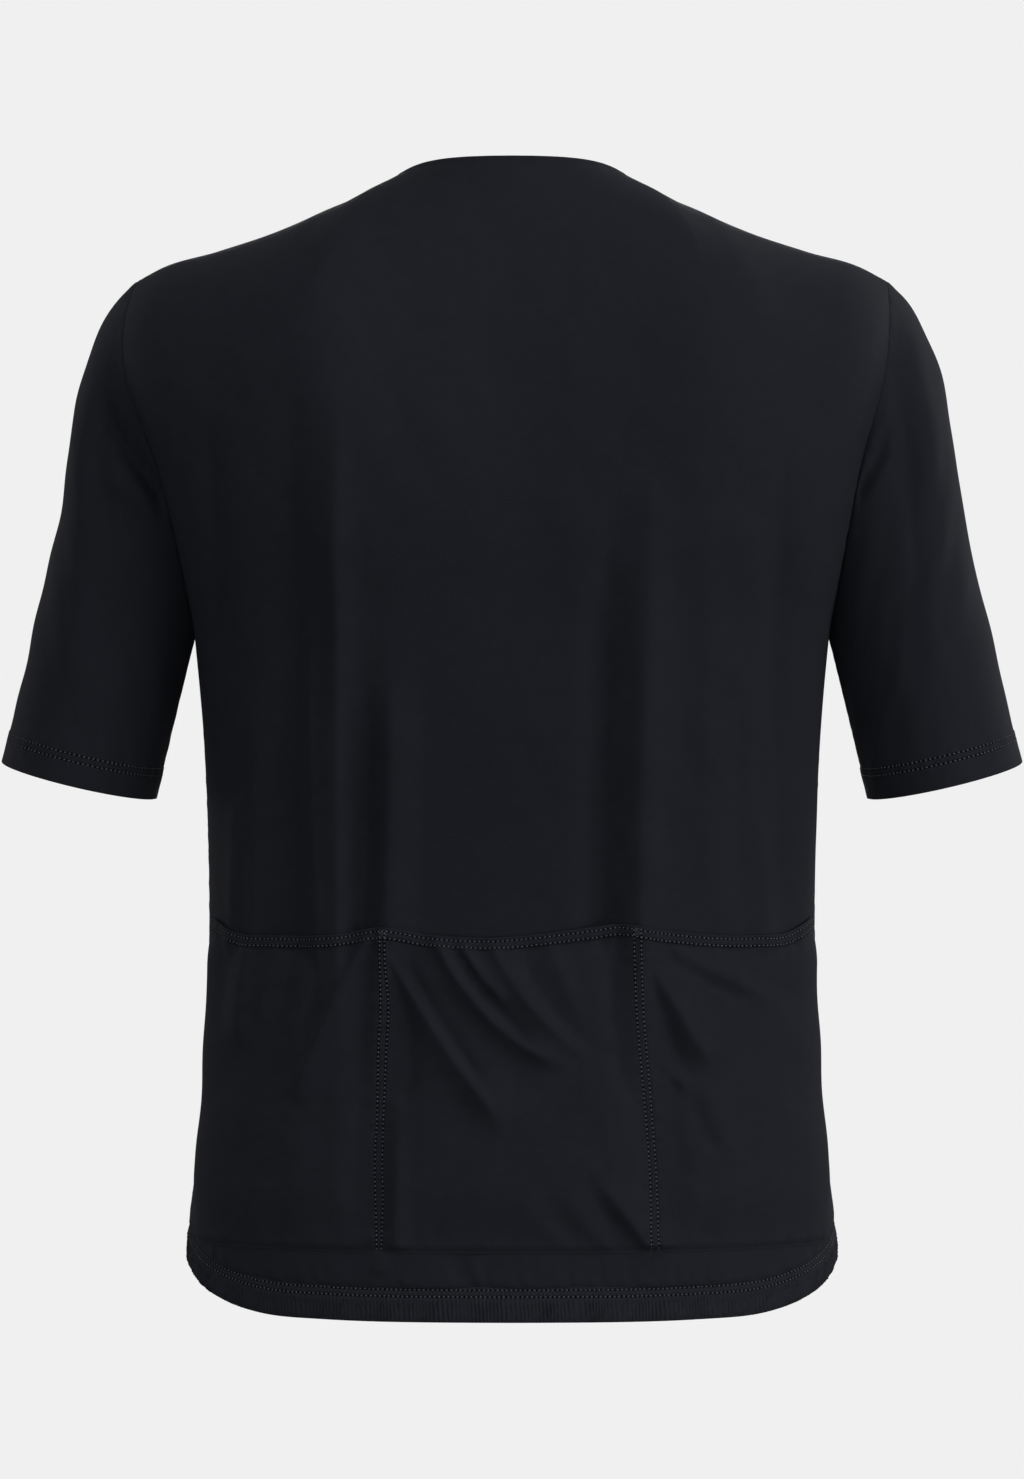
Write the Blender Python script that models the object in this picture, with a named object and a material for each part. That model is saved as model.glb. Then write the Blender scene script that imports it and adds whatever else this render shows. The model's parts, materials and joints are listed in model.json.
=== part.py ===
"""A cycling jersey, filled out as when it is worn: back, fronts, sleeves, rear pockets, elastic hem and zip.

Sizes are in millimetres and become metres when a mesh is made. The origin is the centre of the neck base,
+Z is up, the front faces -Y and the wearer's left is +X. "Turn" is the angle in degrees round the body from
the centre of the back, positive towards the wearer's left: 90 is the left side seam and 180 the zip.
"""

import math

import bmesh
import bpy
import numpy as np
from mathutils import Matrix, Vector

MM = 0.001
WALL = 1.2
SEAM_GAP = 0.3


def table(columns, *rows):
    """A short table, as a dictionary of its named columns."""
    return dict(zip(columns.split(), np.array(rows, float).T))


# Body, below the underarm: rings of a superellipse.
UNDERARM_Z = -278.0
RINGS = table(
    "z half_width back front squareness",
    (-278, 189.6, 112, 113, 2.45),
    (-334, 184.9, 106, 109, 2.40),
    (-394, 182.2, 97, 105, 2.35),
    (-454, 181.4, 93, 103, 2.35),
    (-526, 184.0, 97, 104, 2.35),
    (-586, 188.4, 104, 106, 2.35),
    (-649, 195.0, 110, 108, 2.30),
    (-677, 195.2, 112, 108, 2.30),
)
HEM = table(
    "turn z",
    (0, -677.0),
    (30, -676.5),
    (45, -675.0),
    (54, -671.5),
    (62, -667.0),
    (70, -661.5),
    (78, -654.5),
    (90, -645.0),
    (110, -633.0),
    (140, -620.0),
    (180, -612.0),
)
HEM_BAND = 20.0
GATHERS = 110
GATHER_HEIGHT = 1.0
GATHER_PROFILE = table(
    "rise proud",
    (0.0, 0.8),
    (0.62, 1.0),
    (1.0, 0.0),
)

# Yoke, above the underarm.
NECK_SHARE = 0.38  # of a half width, the columns that end at the neckline
NECK_HALF_WIDTH = 70.0
NECK_BACK, NECK_BACK_Z = 60.0, 3.6
NECK_FRONT, NECK_FRONT_Z = 76.0, -58.0
SHOULDER = table(
    "x z",
    (70, -4.0),
    (84, -11.6),
    (99, -18.0),
    (119, -27.2),
    (140, -35.8),
    (175, -47.2),
    (211, -57.8),
    (224, -65.2),
)
SHOULDER_Y = -6.0
MID_CENTRE = {"back": 117.0, "front": 112.0}  # depth at half the armhole's height, in the middle
MID_ARMHOLE = {"back": 44.0, "front": 46.0}  # and at the armhole seam
MID_SQUARENESS = 2.2
LEAVE_CENTRE = (60.0, 290.0)  # how a column leaves the underarm ring, in depth and height, in the middle,
LEAVE_ARMHOLE = (200.0, 200.0)  # and at the armhole
LEAVE_CHANGE = (0.35, 0.95)  # of a half width, where the one becomes the other
# The direction in which a column of the back's left half arrives: in the middle of the neckline, at the
# corner of neckline and shoulder seam, and further out on the shoulder seam.
ARRIVE_CENTRE = (0.0, -0.55, 0.83)
ARRIVE_NECK = (-0.36, -0.91, 0.19)
ARRIVE_SHOULDER = (0.0, -1.0, 0.0)
ARRIVE_CHANGE = (NECK_SHARE, 0.8)  # of a half width, from the corner's direction to the last one
ARMHOLE_BOW = {1: 14.0, -1: 6.0}  # how far the seam swings out, by the side's sign
BOW_LIFT = 2.4  # a bow's widest place is higher with a larger number
SWING_REACH = 3  # bow and scoop stay nearer to the armhole with a larger number
FRONT_SCOOP = 9.0
SEAM_STEP = 0.0001  # degrees off a side seam, to be on one panel's side of it
UPWARDS = np.array([0, 0, 0.2])  # how far the body's rough outward direction leans up

# Sleeves, by the wearer's left one.
CUFF_CENTRE = (260.3, -8.0, -364.2)
CUFF_HALF_WIDTH, CUFF_HALF_DEPTH = 47.5, 54.0
SLEEVE_LEAN = 13.6  # degrees from straight down
SHOULDER_FALL = 31.0  # degrees below level, where the sleeve leaves the shoulder
CUFF_DROP = 3.5  # how far the middle of the cuff hangs below its ends, as seen from behind
OUTSIDE_SHARE = 1.2  # the outside's curve takes over later round the sleeve with a larger number
FIRST_PULL = (0.9, 0.45)  # how long a line down the sleeve keeps its first direction, underneath and outside,
LAST_PULL = (0.9, 0.8)  # and its last one
UNDERARM_TUCK = 0.24  # how far down the sleeve's wall faces where it starts under the arm
LIFT_REACH = 13.0  # how far from the armhole seam body and sleeve are rounded into each other,
LIFT_STARTS = (0.36, 0.6)  # and where up the seam that begins
OUTER_ARM = table(
    "along proud",
    (0.0, 0.0),
    (0.12, 2.4),
    (0.25, 4.0),
    (0.40, 0.4),
    (0.55, -4.2),
    (0.75, -2.2),
    (1.0, 0.0),
)

# Rear pockets, on the back panel.
POCKET_BOTTOM_Z = -635.0
POCKET_TOP = table(
    "x z",
    (-180, -447.0),
    (-168, -454.5),
    (-145, -456.5),
    (-95, -453.0),
    (-71, -449.0),
    (-50, -451.0),
    (18, -457.0),
    (52, -455.0),
    (78, -451.0),
    (98, -454.5),
    (140, -456.5),
    (166, -454.5),
    (178, -448.0),
)
POCKET_REACH = 0.985  # of the back's half width
POCKET_LIFT = 3.0  # above the hem band's seam, where that is higher than the pockets' bottom
POCKET_HEM, POCKET_HEM_EXTRA = 9.0, 0.7
POCKET_THIN, POCKET_THINS = 0.45, 0.84  # how much thinner it is at its side edges, and where that starts
POCKET_FULLNESS = 4.5
FULL_ABOVE, FULL_BELOW = 0.2, (0.85, 1.0)  # of the pockets' height
FOLDED_ABOVE = 0.06
FULL_UNTIL = (0.8, 0.95)  # of the back's half width
DIVIDERS = (76.0, -76.0)
DIVIDER_REACH = 27.0  # how far a divider holds the pockets down

# Folds of the cloth, each a soft ridge (height over 0) or trough from its upper to its lower end, bowed
# towards the wearer's left in its middle, with its own half width on the wearer's left and right side.
BACK_FOLDS = table(
    "x0 z0 x1 z1 bow height left right",
    (-80, -196, -72, -540, 1, 7.5, 15, 14),
    (-58, -219, -54, -482, 4, -5.5, 12, 13),
    (68, -236, 79, -540, -3, 5.5, 12, 13),
    (82, -236, 90, -482, 0, -4.0, 11, 11),
    (101, -176, 98, -467, 0, 4.2, 12, 12),
    (127, -167, 130, -467, 0, -4.2, 13, 12),
    (-157, -180, -163, -456, 3, -4.5, 12, 11),
    (-176, -180, -172, -456, 2, 3.6, 11, 11),
    (-137, -201, -139, -352, -3, 2.0, 13, 13),
    (118, -60, 102, -250, 0, 5.5, 32, 44),
    (-118, -60, -108, -250, 0, 5.0, 32, 40),
    (-2, -80, -2, -300, 0, -3.0, 34, 34),
)
POCKET_FOLDS = table(
    "x0 z0 x1 z1 bow height left right",
    (80, -458, 145, -559, 7, 3.4, 10, 10),
    (84, -462, 100, -525, -3, -4.0, 10, 10),
    (119, -459, 145, -520, -2, -3.4, 10, 10),
    (76, -462, 7, -565, 6, 3.6, 10, 10),
    (66, -458, -21, -562, 7, -3.6, 9, 9),
    (12, -458, -23, -516, 8, 4.0, 10, 10),
    (-61, -456, -28, -514, 2, 2.6, 10, 10),
    (-67, -458, -72, -531, 0, -4.0, 9, 9),
    (-75, -458, -116, -535, 0, 4.0, 10, 10),
    (84, -525, 84, -624, 1, -2.4, 10, 10),
    (66, -525, 66, -627, -1, 3.0, 10, 10),
    (-62, -595, -76, -632, -1, 3.0, 10, 10),
)
FRONT_FOLDS = table(
    "x0 z0 x1 z1 bow height left right",
    (112, -230, 88, -450, 4, 4.5, 15, 13),
    (84, -250, 64, -440, 3, -3.0, 13, 13),
    (140, -240, 122, -520, 3, -4.0, 14, 14),
    (-108, -220, -92, -460, -4, 4.5, 13, 15),
    (-138, -250, -118, -540, -3, -4.0, 14, 14),
    (58, -430, 40, -600, 2, 3.0, 14, 14),
    (-66, -440, -44, -600, -2, 3.0, 14, 14),
)
# On a sleeve, the first number is the turn round it, 0 at the underarm, 90 at the back and 180 outside, and
# the second a percentage of the way from the armhole to the cuff.
SLEEVE_FOLDS = table(
    "round0 along0 round1 along1 bow height left right",
    (105, 14, 66, 60, 0, -2.2, 15, 15),
    (128, 16, 92, 66, 0, 1.8, 15, 15),
    (262, 14, 300, 60, 0, -3.4, 14, 14),
    (240, 18, 276, 70, 0, 2.6, 14, 14),
)
FOLD_SWELLS, FOLD_FADES = (-0.1, 0.3), (0.8, 1.1)  # of a fold's length
BODY_FOLDS_SIDE = (0.86, 0.98)  # of a half width, where the body's folds die out,
BODY_FOLDS_TOP = (1.7, 1.95)  # and the levels where they do
SLEEVE_FOLDS_START, SLEEVE_FOLDS_END = (0, 12), (75, 95)  # percent along the sleeve

# Zip.
TAPE_EDGE = 9.0
CHAIN_HALF_WIDTH = 2.7
CHAIN_PROUD = 0.5
FRONT_RADIUS = 180.0  # of the front's curve to each side of the zip
CHAIN_SETBACK, TAPE_FOOT = 4.0, 2.0  # from the neckline, and above the hem's edge
BOX_HEIGHT, BOX_PROUD = 11.0, 1.1
SLIDER_SIZE, SLIDER_ROUNDING = (8.0, 1.8, 10.5), 0.45
SLIDER_DOWN = 10.0  # from the neckline to the slider's middle
BRIDGE_WIDTH, BRIDGE_BAR, BRIDGE_LENGTH = 2.0, 1.1, 6.4
BRIDGE_CLEAR = 2.5  # from the slider's plate to the middle of the bar
BRIDGE_SINK = 0.8  # into the plate
BRIDGE_CHAMFER, EYE_CHAMFER = 1.1, 0.4
TAB_WIDTH, TAB_LENGTH, TAB_THICKNESS, TAB_CORNER = 7.0, 27.0, 1.1, 1.6
TAB_HOLE, HOLE_CORNER = (4.0, 3.6), 0.8
TAB_RIM = 1.2  # of the bar that turns under the bridge
HINGE_CLEAR, HINGE_DROP = 1.0, 0.9  # from the slider's plate, and below its middle

BACK_NECK_COLUMNS, FRONT_NECK_COLUMNS, SHOULDER_COLUMNS = 24, 6, 11
BACK_ROWS, FRONT_ROWS = 18, 12
YOKE_ROWS = 13
SLEEVE_ROWS = 10
POCKET_ROWS = 11
ZIP_ROWS = 22
CENTRE_LEVELS = 81
HALVINGS = 40

KNIT = (0.016, 0.016, 0.019)
ZIP_METAL = (0.03, 0.03, 0.032)


def mix(first, second, share):
    return first + (second - first) * share


def hermite(s, start, end, leave, arrive):
    """A cubic between two values with the slopes it leaves and arrives with."""
    near = (1 + 2 * s) * (1 - s) ** 2 * start + s * (1 - s) ** 2 * leave
    return near + s * s * (3 - 2 * s) * end + s * s * (s - 1) * arrive


def curve(at, xs, ys):
    """A smooth value between the rows of a table, held level beyond its ends."""
    order = np.argsort(xs)
    xs, ys = xs[order], ys[order]
    slope = np.gradient(ys, xs)
    at = np.clip(at, xs[0], xs[-1])
    k = np.clip(np.searchsorted(xs, at, side="right") - 1, 0, len(xs) - 2)
    span = xs[k + 1] - xs[k]
    s = (at - xs[k]) / span
    return hermite(s, ys[k], ys[k + 1], span * slope[k], span * slope[k + 1])


def ease(at, start, end):
    """0 before start, 1 after end, and a smooth step between."""
    s = np.clip((at - start) / (end - start), 0, 1)
    return s * s * (3 - 2 * s)


def unit(vectors):
    return vectors / np.maximum(np.linalg.norm(vectors, axis=-1, keepdims=True), 1e-9)


def signed_power(values, power):
    return np.sign(values) * np.abs(values) ** power


def ring(turn, z):
    """The body's outline at a height: wider than deep, with full corners."""
    size = {name: curve(z, RINGS["z"], RINGS[name]) for name in RINGS if name != "z"}
    angle = np.radians(turn)
    power = 2 / size["squareness"]
    across = signed_power(np.sin(angle), power)
    deep = signed_power(np.cos(angle), power)
    depth = np.where(deep > 0, size["back"], size["front"])
    return np.stack([size["half_width"] * across, depth * deep, z + 0 * turn], axis=-1)


def hem_z(turn):
    return curve(np.abs(turn), HEM["turn"], HEM["z"])


def band_top(turn):
    return hem_z(turn) + HEM_BAND


def top_line(share, back):
    """Where a column ends: on the neckline, or further out on the shoulder seam."""
    round_neck = np.radians(90 * np.clip(share / NECK_SHARE, 0, 1))
    out = np.clip((share - NECK_SHARE) / (1 - NECK_SHARE), 0, 1)
    x = NECK_HALF_WIDTH * np.sin(round_neck) + (SHOULDER["x"][-1] - NECK_HALF_WIDTH) * out
    forward = np.where(back, NECK_BACK, -NECK_FRONT)
    y = SHOULDER_Y + (forward - SHOULDER_Y) * np.cos(round_neck)
    centre_z = np.where(back, NECK_BACK_Z, NECK_FRONT_Z)
    side_z = SHOULDER["z"][0]
    drop = np.where(back, 1 - np.sin(round_neck) ** 5, np.cos(round_neck).clip(0) ** 1.25)
    z = side_z + (centre_z - side_z) * drop
    z = np.where(out > 0, curve(x, SHOULDER["x"], SHOULDER["z"]), z)
    return np.stack([x, y, z], axis=-1)


def from_middle(turn):
    """How far across its panel a turn is: 0 in the middle of the back or front, and 1 at the side seam."""
    return np.where(np.abs(turn) <= 90, np.abs(turn), 180 - np.abs(turn)) / 90


def yoke(turn, rise):
    """The body above the underarm: each column arches from the underarm ring to the neckline or shoulder."""
    back, side = np.abs(turn) <= 90, np.sign(turn)
    share, facing = from_middle(turn), np.where(back, 1, -1)
    low = ring(turn, UNDERARM_Z + 0 * rise)
    low_x, low_y = np.abs(low[..., 0]), low[..., 1]
    top_x, top_y, top_z = np.moveaxis(top_line(share, back), -1, 0)
    armhole_y = np.where(back, MID_ARMHOLE["back"], MID_ARMHOLE["front"])
    centre_y = np.where(back, MID_CENTRE["back"], MID_CENTRE["front"])
    middle_y = facing * mix(armhole_y, centre_y, (1 - share**MID_SQUARENESS).clip(0) ** (1 / MID_SQUARENESS))
    to_armhole = ease(share, *LEAVE_CHANGE)
    leave_y = facing * mix(LEAVE_CENTRE[0], LEAVE_ARMHOLE[0], to_armhole)
    leave_z = mix(LEAVE_CENTRE[1], LEAVE_ARMHOLE[1], to_armhole)
    arrive = mix(np.array(ARRIVE_CENTRE), np.array(ARRIVE_NECK), ease(share, 0, NECK_SHARE)[..., None])
    arrive = mix(arrive, np.array(ARRIVE_SHOULDER), ease(share, *ARRIVE_CHANGE)[..., None])
    arrive_y = leave_y - 8 * (middle_y - (low_y + top_y) / 2)  # this puts the middle of the cubic at middle_y
    strength = np.abs(arrive_y / arrive[..., 1])
    y = hermite(rise, low_y, top_y, leave_y, arrive_y)
    z = hermite(rise, UNDERARM_Z, top_z, leave_z, strength * arrive[..., 2])
    x = hermite(rise, low_x, top_x, top_x - low_x, top_x - low_x + strength * arrive[..., 0])
    up = np.clip((z - UNDERARM_Z) / (top_z - UNDERARM_Z), 0, 1)
    bow = np.where(side > 0, ARMHOLE_BOW[1], ARMHOLE_BOW[-1]) * np.sin(np.pi * up**BOW_LIFT)
    scoop = np.where(back, 0, FRONT_SCOOP) * np.sin(np.pi * up)
    x = x + (bow - scoop) * share**SWING_REACH
    return np.stack([side * x, y, z], axis=-1)


def body(turn, level):
    """The body's plain surface. Level is 0 at the hem seam, 1 at the underarm and 2 at neck and shoulders."""
    turn, level = np.broadcast_arrays(np.asarray(turn, float), np.asarray(level, float))
    start = band_top(turn)
    low = ring(turn, start + (UNDERARM_Z - start) * np.clip(level, 0, 1))
    high = yoke(turn, np.clip(level - 1, 0, 1))
    return np.where(level[..., None] <= 1, low, high)


def armhole(side, rise, back):
    """A point of the armhole seam on the back or the front half of its loop."""
    return body(side * (90 - SEAM_STEP if back else 90 + SEAM_STEP), 1 + np.asarray(rise, float))


def sleeve(side, around, along):
    """A sleeve's plain surface, from the armhole to the cuff."""
    around, along = np.broadcast_arrays(np.asarray(around, float), np.asarray(along, float))
    behind = around <= 180
    rise = np.where(behind, around, 360 - around) / 180
    start = np.where(behind[..., None], armhole(side, rise, True), armhole(side, rise, False))
    lean, fall = math.radians(SLEEVE_LEAN), math.radians(SHOULDER_FALL)
    down = np.array([side * math.sin(lean), 0, -math.cos(lean)])
    outwards = np.array([side * math.cos(lean), 0, math.sin(lean)])
    leave = np.array([side * math.cos(fall), 0, -math.sin(fall)])
    angle = np.radians(around)[..., None]
    centre = np.array(CUFF_CENTRE) * (side, 1, 1)
    end = centre - np.cos(angle) * CUFF_HALF_WIDTH * outwards + abs(np.sin(angle)) * CUFF_DROP * down
    end = end + np.sin(angle) * CUFF_HALF_DEPTH * np.array([0, 1, 0])
    reach = np.linalg.norm(end - start, axis=-1, keepdims=True)
    upper = ((1 - np.cos(angle)) / 2) ** OUTSIDE_SHARE
    first = unit(mix(down, leave, upper)) * reach * mix(*FIRST_PULL, upper)
    last = down * reach * mix(*LAST_PULL, upper)
    proud = curve(along, OUTER_ARM["along"], OUTER_ARM["proud"])[..., None] * upper
    return hermite(along[..., None], start, end, first, last) + proud * outwards


def fold_height(first, second, folds):
    """The height of all folds at points given by two coordinates, in the order of the folds' tables."""
    total = np.zeros(np.shape(first))
    for start_1, start_2, end_1, end_2, bow, height, left, right in zip(*folds.values()):
        length = math.hypot(end_1 - start_1, end_2 - start_2)
        along = ((end_1 - start_1) / length, (end_2 - start_2) / length)
        share = ((first - start_1) * along[0] + (second - start_2) * along[1]) / length
        across = (second - start_2) * along[0] - (first - start_1) * along[1] - 4 * bow * share * (1 - share)
        ends = ease(share, *FOLD_SWELLS) * (1 - ease(share, *FOLD_FADES))
        total += height * ends * np.exp(-((across / np.where(across > 0, left, right)) ** 2))
    return total


def body_folds(points, folds, share, level):
    """The folds on a body panel, which die out towards its seams."""
    height = fold_height(points[..., 0], points[..., 2], folds)
    return height * (1 - ease(share, *BODY_FOLDS_SIDE)) * (1 - ease(level, *BODY_FOLDS_TOP))


def grid_normals(points, outwards_like):
    """Unit normals of a grid of points, facing the same way as a rough direction."""
    return turned(unit(np.cross(np.gradient(points, axis=1), np.gradient(points, axis=0))), outwards_like)


def from_axis(points):
    """The direction away from the body's upright axis, level."""
    return unit(points * (1, 1, 0))


def turned(normals, rough):
    """Normals turned round where they face away from a rough direction."""
    return normals * np.where(np.sum(normals * rough, axis=-1, keepdims=True) < 0, -1, 1)


def side_seam_normals(side, level, step=0.5, rise=0.01):
    """Normals on a side seam, from points a step of turn and a rise of level away."""
    across = body(side * (90 - step), level) - body(side * (90 + step), level)
    up = body(side * 90, np.minimum(level + rise, 1)) - body(side * 90, np.maximum(level - rise, 0))
    return turned(unit(np.cross(across, up)), np.array([side, 0, 0]))


def shoulder_normals(side, share, step=0.02):
    """Normals on a shoulder seam, level in depth, so that back and front meet there alike."""
    line = top_line(np.minimum(share + step, 1), True) - top_line(np.maximum(share - step, NECK_SHARE), True)
    return turned(unit(np.cross(line * (side, 1, 1), (0, 1, 0))), np.array([0, 0, 1]))


def along_armhole(side, rises, back, step=0.01):
    """The direction up the armhole seam."""
    above = armhole(side, np.minimum(rises + step, 1), back)
    below = armhole(side, np.maximum(rises - step, 0), back)
    return unit(above - below)


def armhole_normals(side, rises, back, inside=1.5, down=0.03):
    """Normals on the armhole seam, halfway between body's and sleeve's, so that both walls end alike."""
    here = armhole(side, rises, back)
    inwards = body(side * (90 - inside if back else 90 + inside), 1 + rises) - here
    along = along_armhole(side, rises, back)
    bodys = turned(unit(np.cross(inwards, along)), from_axis(here))
    bodys[0] = side_seam_normals(side, np.array(1.0))
    bodys[-1] = shoulder_normals(side, np.array(1.0))
    around = 180 * rises if back else 360 - 180 * rises
    down_sleeve = sleeve(side, around, down) - sleeve(side, around, 0.0)
    centre = (armhole(side, 0.5, True) + armhole(side, 0.5, False)) / 2
    sleeves = turned(unit(np.cross(down_sleeve, along)), here - centre)
    sleeves[0] = unit(np.array([-side * math.cos(math.radians(SLEEVE_LEAN)), 0, -UNDERARM_TUCK]))
    sleeves[-1, 1] = 0
    return unit(bodys + sleeves)


def armhole_lift(side, rises, back, inside=1.5):
    """How cloth stands out along the armhole seam's upper part, where body and sleeve pass into each other."""
    here = armhole(side, rises, back)
    line = along_armhole(side, rises, back)
    inwards = body(side * (90 - inside if back else 90 + inside), 1 + rises) - here
    inwards = unit(inwards - line * np.sum(inwards * line, axis=-1, keepdims=True))
    normals = armhole_normals(side, rises, back)
    hollow = np.sum(inwards * normals, axis=-1).clip(0)
    return normals * (LIFT_REACH * hollow * ease(rises, *LIFT_STARTS))[:, None]


def lifted(plain, turn, levels, underarm, seams):
    """A body panel's surface, raised along the upper part of its armhole seams."""
    raised = plain.copy()
    for column in seams:
        lift = armhole_lift(np.sign(turn[0, column]), levels[underarm:] - 1, abs(turn[0, 0]) <= 90)
        away = np.linalg.norm(plain[underarm:] - plain[underarm:, column][:, None], axis=-1)
        raised[underarm:] += lift[:, None, :] * np.exp(-away / LIFT_REACH)[..., None]
    return raised


def pulled_back(outer, inner, edges):
    """The two faces of a wall with the named edges of the grid moved in by half the gap between pieces."""
    for faces in (outer, inner):
        moves = np.zeros_like(faces)
        for edge in edges:
            axis, first, second = {
                "start": (0, (slice(None), 0), (slice(None), 1)),
                "end": (0, (slice(None), -1), (slice(None), -2)),
                "bottom": (0, (0,), (1,)),
                "top": (0, (-1,), (-2,)),
            }[edge]
            line = unit(np.gradient(faces[first], axis=axis))
            inwards = faces[second] - faces[first]
            inwards = inwards - np.sum(inwards * line, axis=-1, keepdims=True) * line
            moves[first] += unit(inwards) * SEAM_GAP / 2
        faces += moves
    return outer, inner


def material(name, colour, roughness, metallic=0.0):
    made = bpy.data.materials.new(name)
    made.use_nodes = True
    shader = made.node_tree.nodes["Principled BSDF"]
    shader.inputs["Base Color"].default_value = (*colour, 1)
    shader.inputs["Roughness"].default_value = roughness
    shader.inputs["Metallic"].default_value = metallic
    made.diffuse_color = (*colour, 1)
    return made


def add_object(name, mesh_maker, finish, smooth_angle=60):
    """An object from a function that fills a bmesh, in millimetres, with its own material."""
    mesh = bpy.data.meshes.new(name)
    shape = bmesh.new()
    mesh_maker(shape)
    bmesh.ops.scale(shape, vec=(MM, MM, MM), verts=shape.verts)
    bmesh.ops.recalc_face_normals(shape, faces=shape.faces)
    shape.to_mesh(mesh)
    shape.free()
    mesh.shade_smooth()
    mesh.set_sharp_from_angle(angle=math.radians(smooth_angle))
    mesh.materials.append(finish)
    made = bpy.data.objects.new(name, mesh)
    bpy.context.scene.collection.objects.link(made)
    return made


def add_wall(name, outer, inner, finish, closed=False):
    """A closed wall between two grids of points with as many columns, which may have fewer rows inside."""

    def fill(shape):
        columns = outer.shape[1]
        out = [[shape.verts.new(p) for p in row] for row in outer]
        ins = [[shape.verts.new(p) for p in row] for row in inner]
        span = range(columns if closed else columns - 1)
        for face in (out, ins):
            for low, high in zip(face, face[1:]):
                for i in span:
                    j = (i + 1) % columns
                    shape.faces.new((low[i], low[j], high[j], high[i]))
        for a, b in ((out[0], ins[0]), (out[-1], ins[-1])):
            for i in span:
                j = (i + 1) % columns
                shape.faces.new((a[i], a[j], b[j], b[i]))
        if closed:
            return
        for i in (0, -1):
            if len(out) == len(ins):
                for k in range(len(out) - 1):
                    shape.faces.new((out[k][i], out[k + 1][i], ins[k + 1][i], ins[k][i]))
            else:
                shape.faces.new([row[i] for row in out] + [row[i] for row in reversed(ins)])

    return add_object(name, fill, finish)


def yoke_levels():
    return 1 + np.linspace(0, 1, YOKE_ROWS + 1)


def add_body_panel(name, turns, levels, seams, folds, finish):
    """A back or front panel: a grid of turns by levels, folded, with the seams' shared normals at its edges.
    Seams are its columns that lie on a side seam and the armhole above it."""
    turn = np.broadcast_to(turns, (len(levels), np.shape(turns)[-1]))
    level = np.broadcast_to(levels[:, None], turn.shape)
    underarm = len(levels) - YOKE_ROWS - 1
    plain = lifted(body(turn, level), turn, levels, underarm, seams)
    normals = grid_normals(plain, from_axis(plain) + UPWARDS)
    back = abs(turn[0, 0]) <= 90
    share = from_middle(turn)
    for column in seams:
        side = np.sign(turn[0, column])
        normals[:underarm, column] = side_seam_normals(side, levels[:underarm])
        normals[underarm:, column] = armhole_normals(side, levels[underarm:] - 1, back)
    for column in range(len(share[-1])):
        if share[-1, column] > NECK_SHARE - SEAM_STEP and share[-1, column] < 1 - SEAM_STEP:
            normals[-1, column] = shoulder_normals(np.sign(turn[-1, column]), share[-1, column])
    height = body_folds(plain, folds, share, level)
    outer = plain + normals * height[..., None]
    inner = outer - normals * WALL
    outer, inner = pulled_back(outer, inner, ("start", "end", "bottom", "top"))
    add_wall(name, outer, inner, finish)


def turn_at(x, levels, side):
    """The turn at which the front's surface is at a given x, on each level."""
    low, high = np.full(len(levels), 140.0), np.full(len(levels), 180.0)
    for _ in range(HALVINGS):
        middle = (low + high) / 2
        inside = np.abs(body(middle, levels)[..., 0]) < x
        high = np.where(inside, middle, high)
        low = np.where(inside, low, middle)
    return side * (low + high) / 2


def shoulder_shares():
    """The columns between the side seam and the corner of the neck, which back and front have alike."""
    return np.linspace(1, NECK_SHARE, SHOULDER_COLUMNS + 1)


def back_turns():
    """The back's columns."""
    half = 90 * shoulder_shares()
    middle = np.linspace(-90 * NECK_SHARE, 90 * NECK_SHARE, BACK_NECK_COLUMNS + 1)
    return np.concatenate([-half, middle[1:-1], half[::-1]])


def add_back(finish):
    levels = np.concatenate([np.linspace(0, 1, BACK_ROWS + 1)[:-1], yoke_levels()])
    add_body_panel("back", back_turns(), levels, (0, -1), BACK_FOLDS, finish)


def add_front(name, side, finish):
    levels = np.concatenate([np.linspace(0, 1, FRONT_ROWS + 1)[:-1], yoke_levels()])
    edge = 180 - np.abs(turn_at(TAPE_EDGE, levels, side))
    corner = 90 * NECK_SHARE
    middle = corner + (edge[:, None] - corner) * np.linspace(0, 1, FRONT_NECK_COLUMNS + 1)[1:]
    sides = np.broadcast_to(90 * shoulder_shares(), (len(levels), SHOULDER_COLUMNS + 1))
    turns = side * (180 - np.concatenate([sides, middle], axis=1))
    turns[:, 0] = side * (90 + SEAM_STEP)
    add_body_panel(name, turns, levels, (0,), FRONT_FOLDS, finish)


def add_sleeve(name, side, finish):
    rises = np.linspace(0, 1, YOKE_ROWS + 1)
    around = np.concatenate([180 * rises[:-1], 360 - 180 * rises[:0:-1]])
    along = np.linspace(0, 1, SLEEVE_ROWS + 1)[:, None]
    plain = sleeve(side, around, along)
    lift = np.concatenate([armhole_lift(side, rises, True), armhole_lift(side, rises, False)[-2:0:-1]])
    plain = plain + lift * np.exp(-np.linalg.norm(plain - plain[0], axis=-1) / LIFT_REACH)[..., None]
    wrapped = np.concatenate([plain[:, -1:], plain, plain[:, :1]], axis=1)
    centres = plain.mean(axis=1, keepdims=True)
    normals = grid_normals(wrapped, wrapped - centres)[:, 1:-1]
    normals[0, : YOKE_ROWS + 1] = armhole_normals(side, rises, True)
    normals[0, YOKE_ROWS:] = armhole_normals(side, rises, False)[:0:-1]
    height = fold_height(*np.broadcast_arrays(around, 100 * along), SLEEVE_FOLDS)
    height = height * ease(100 * along, *SLEEVE_FOLDS_START) * (1 - ease(100 * along, *SLEEVE_FOLDS_END))
    outer = plain + normals * height[..., None]
    inner = outer - normals * WALL
    outer, inner = pulled_back(outer, inner, ("bottom",))
    add_wall(name, outer, inner, finish, closed=True)


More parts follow.
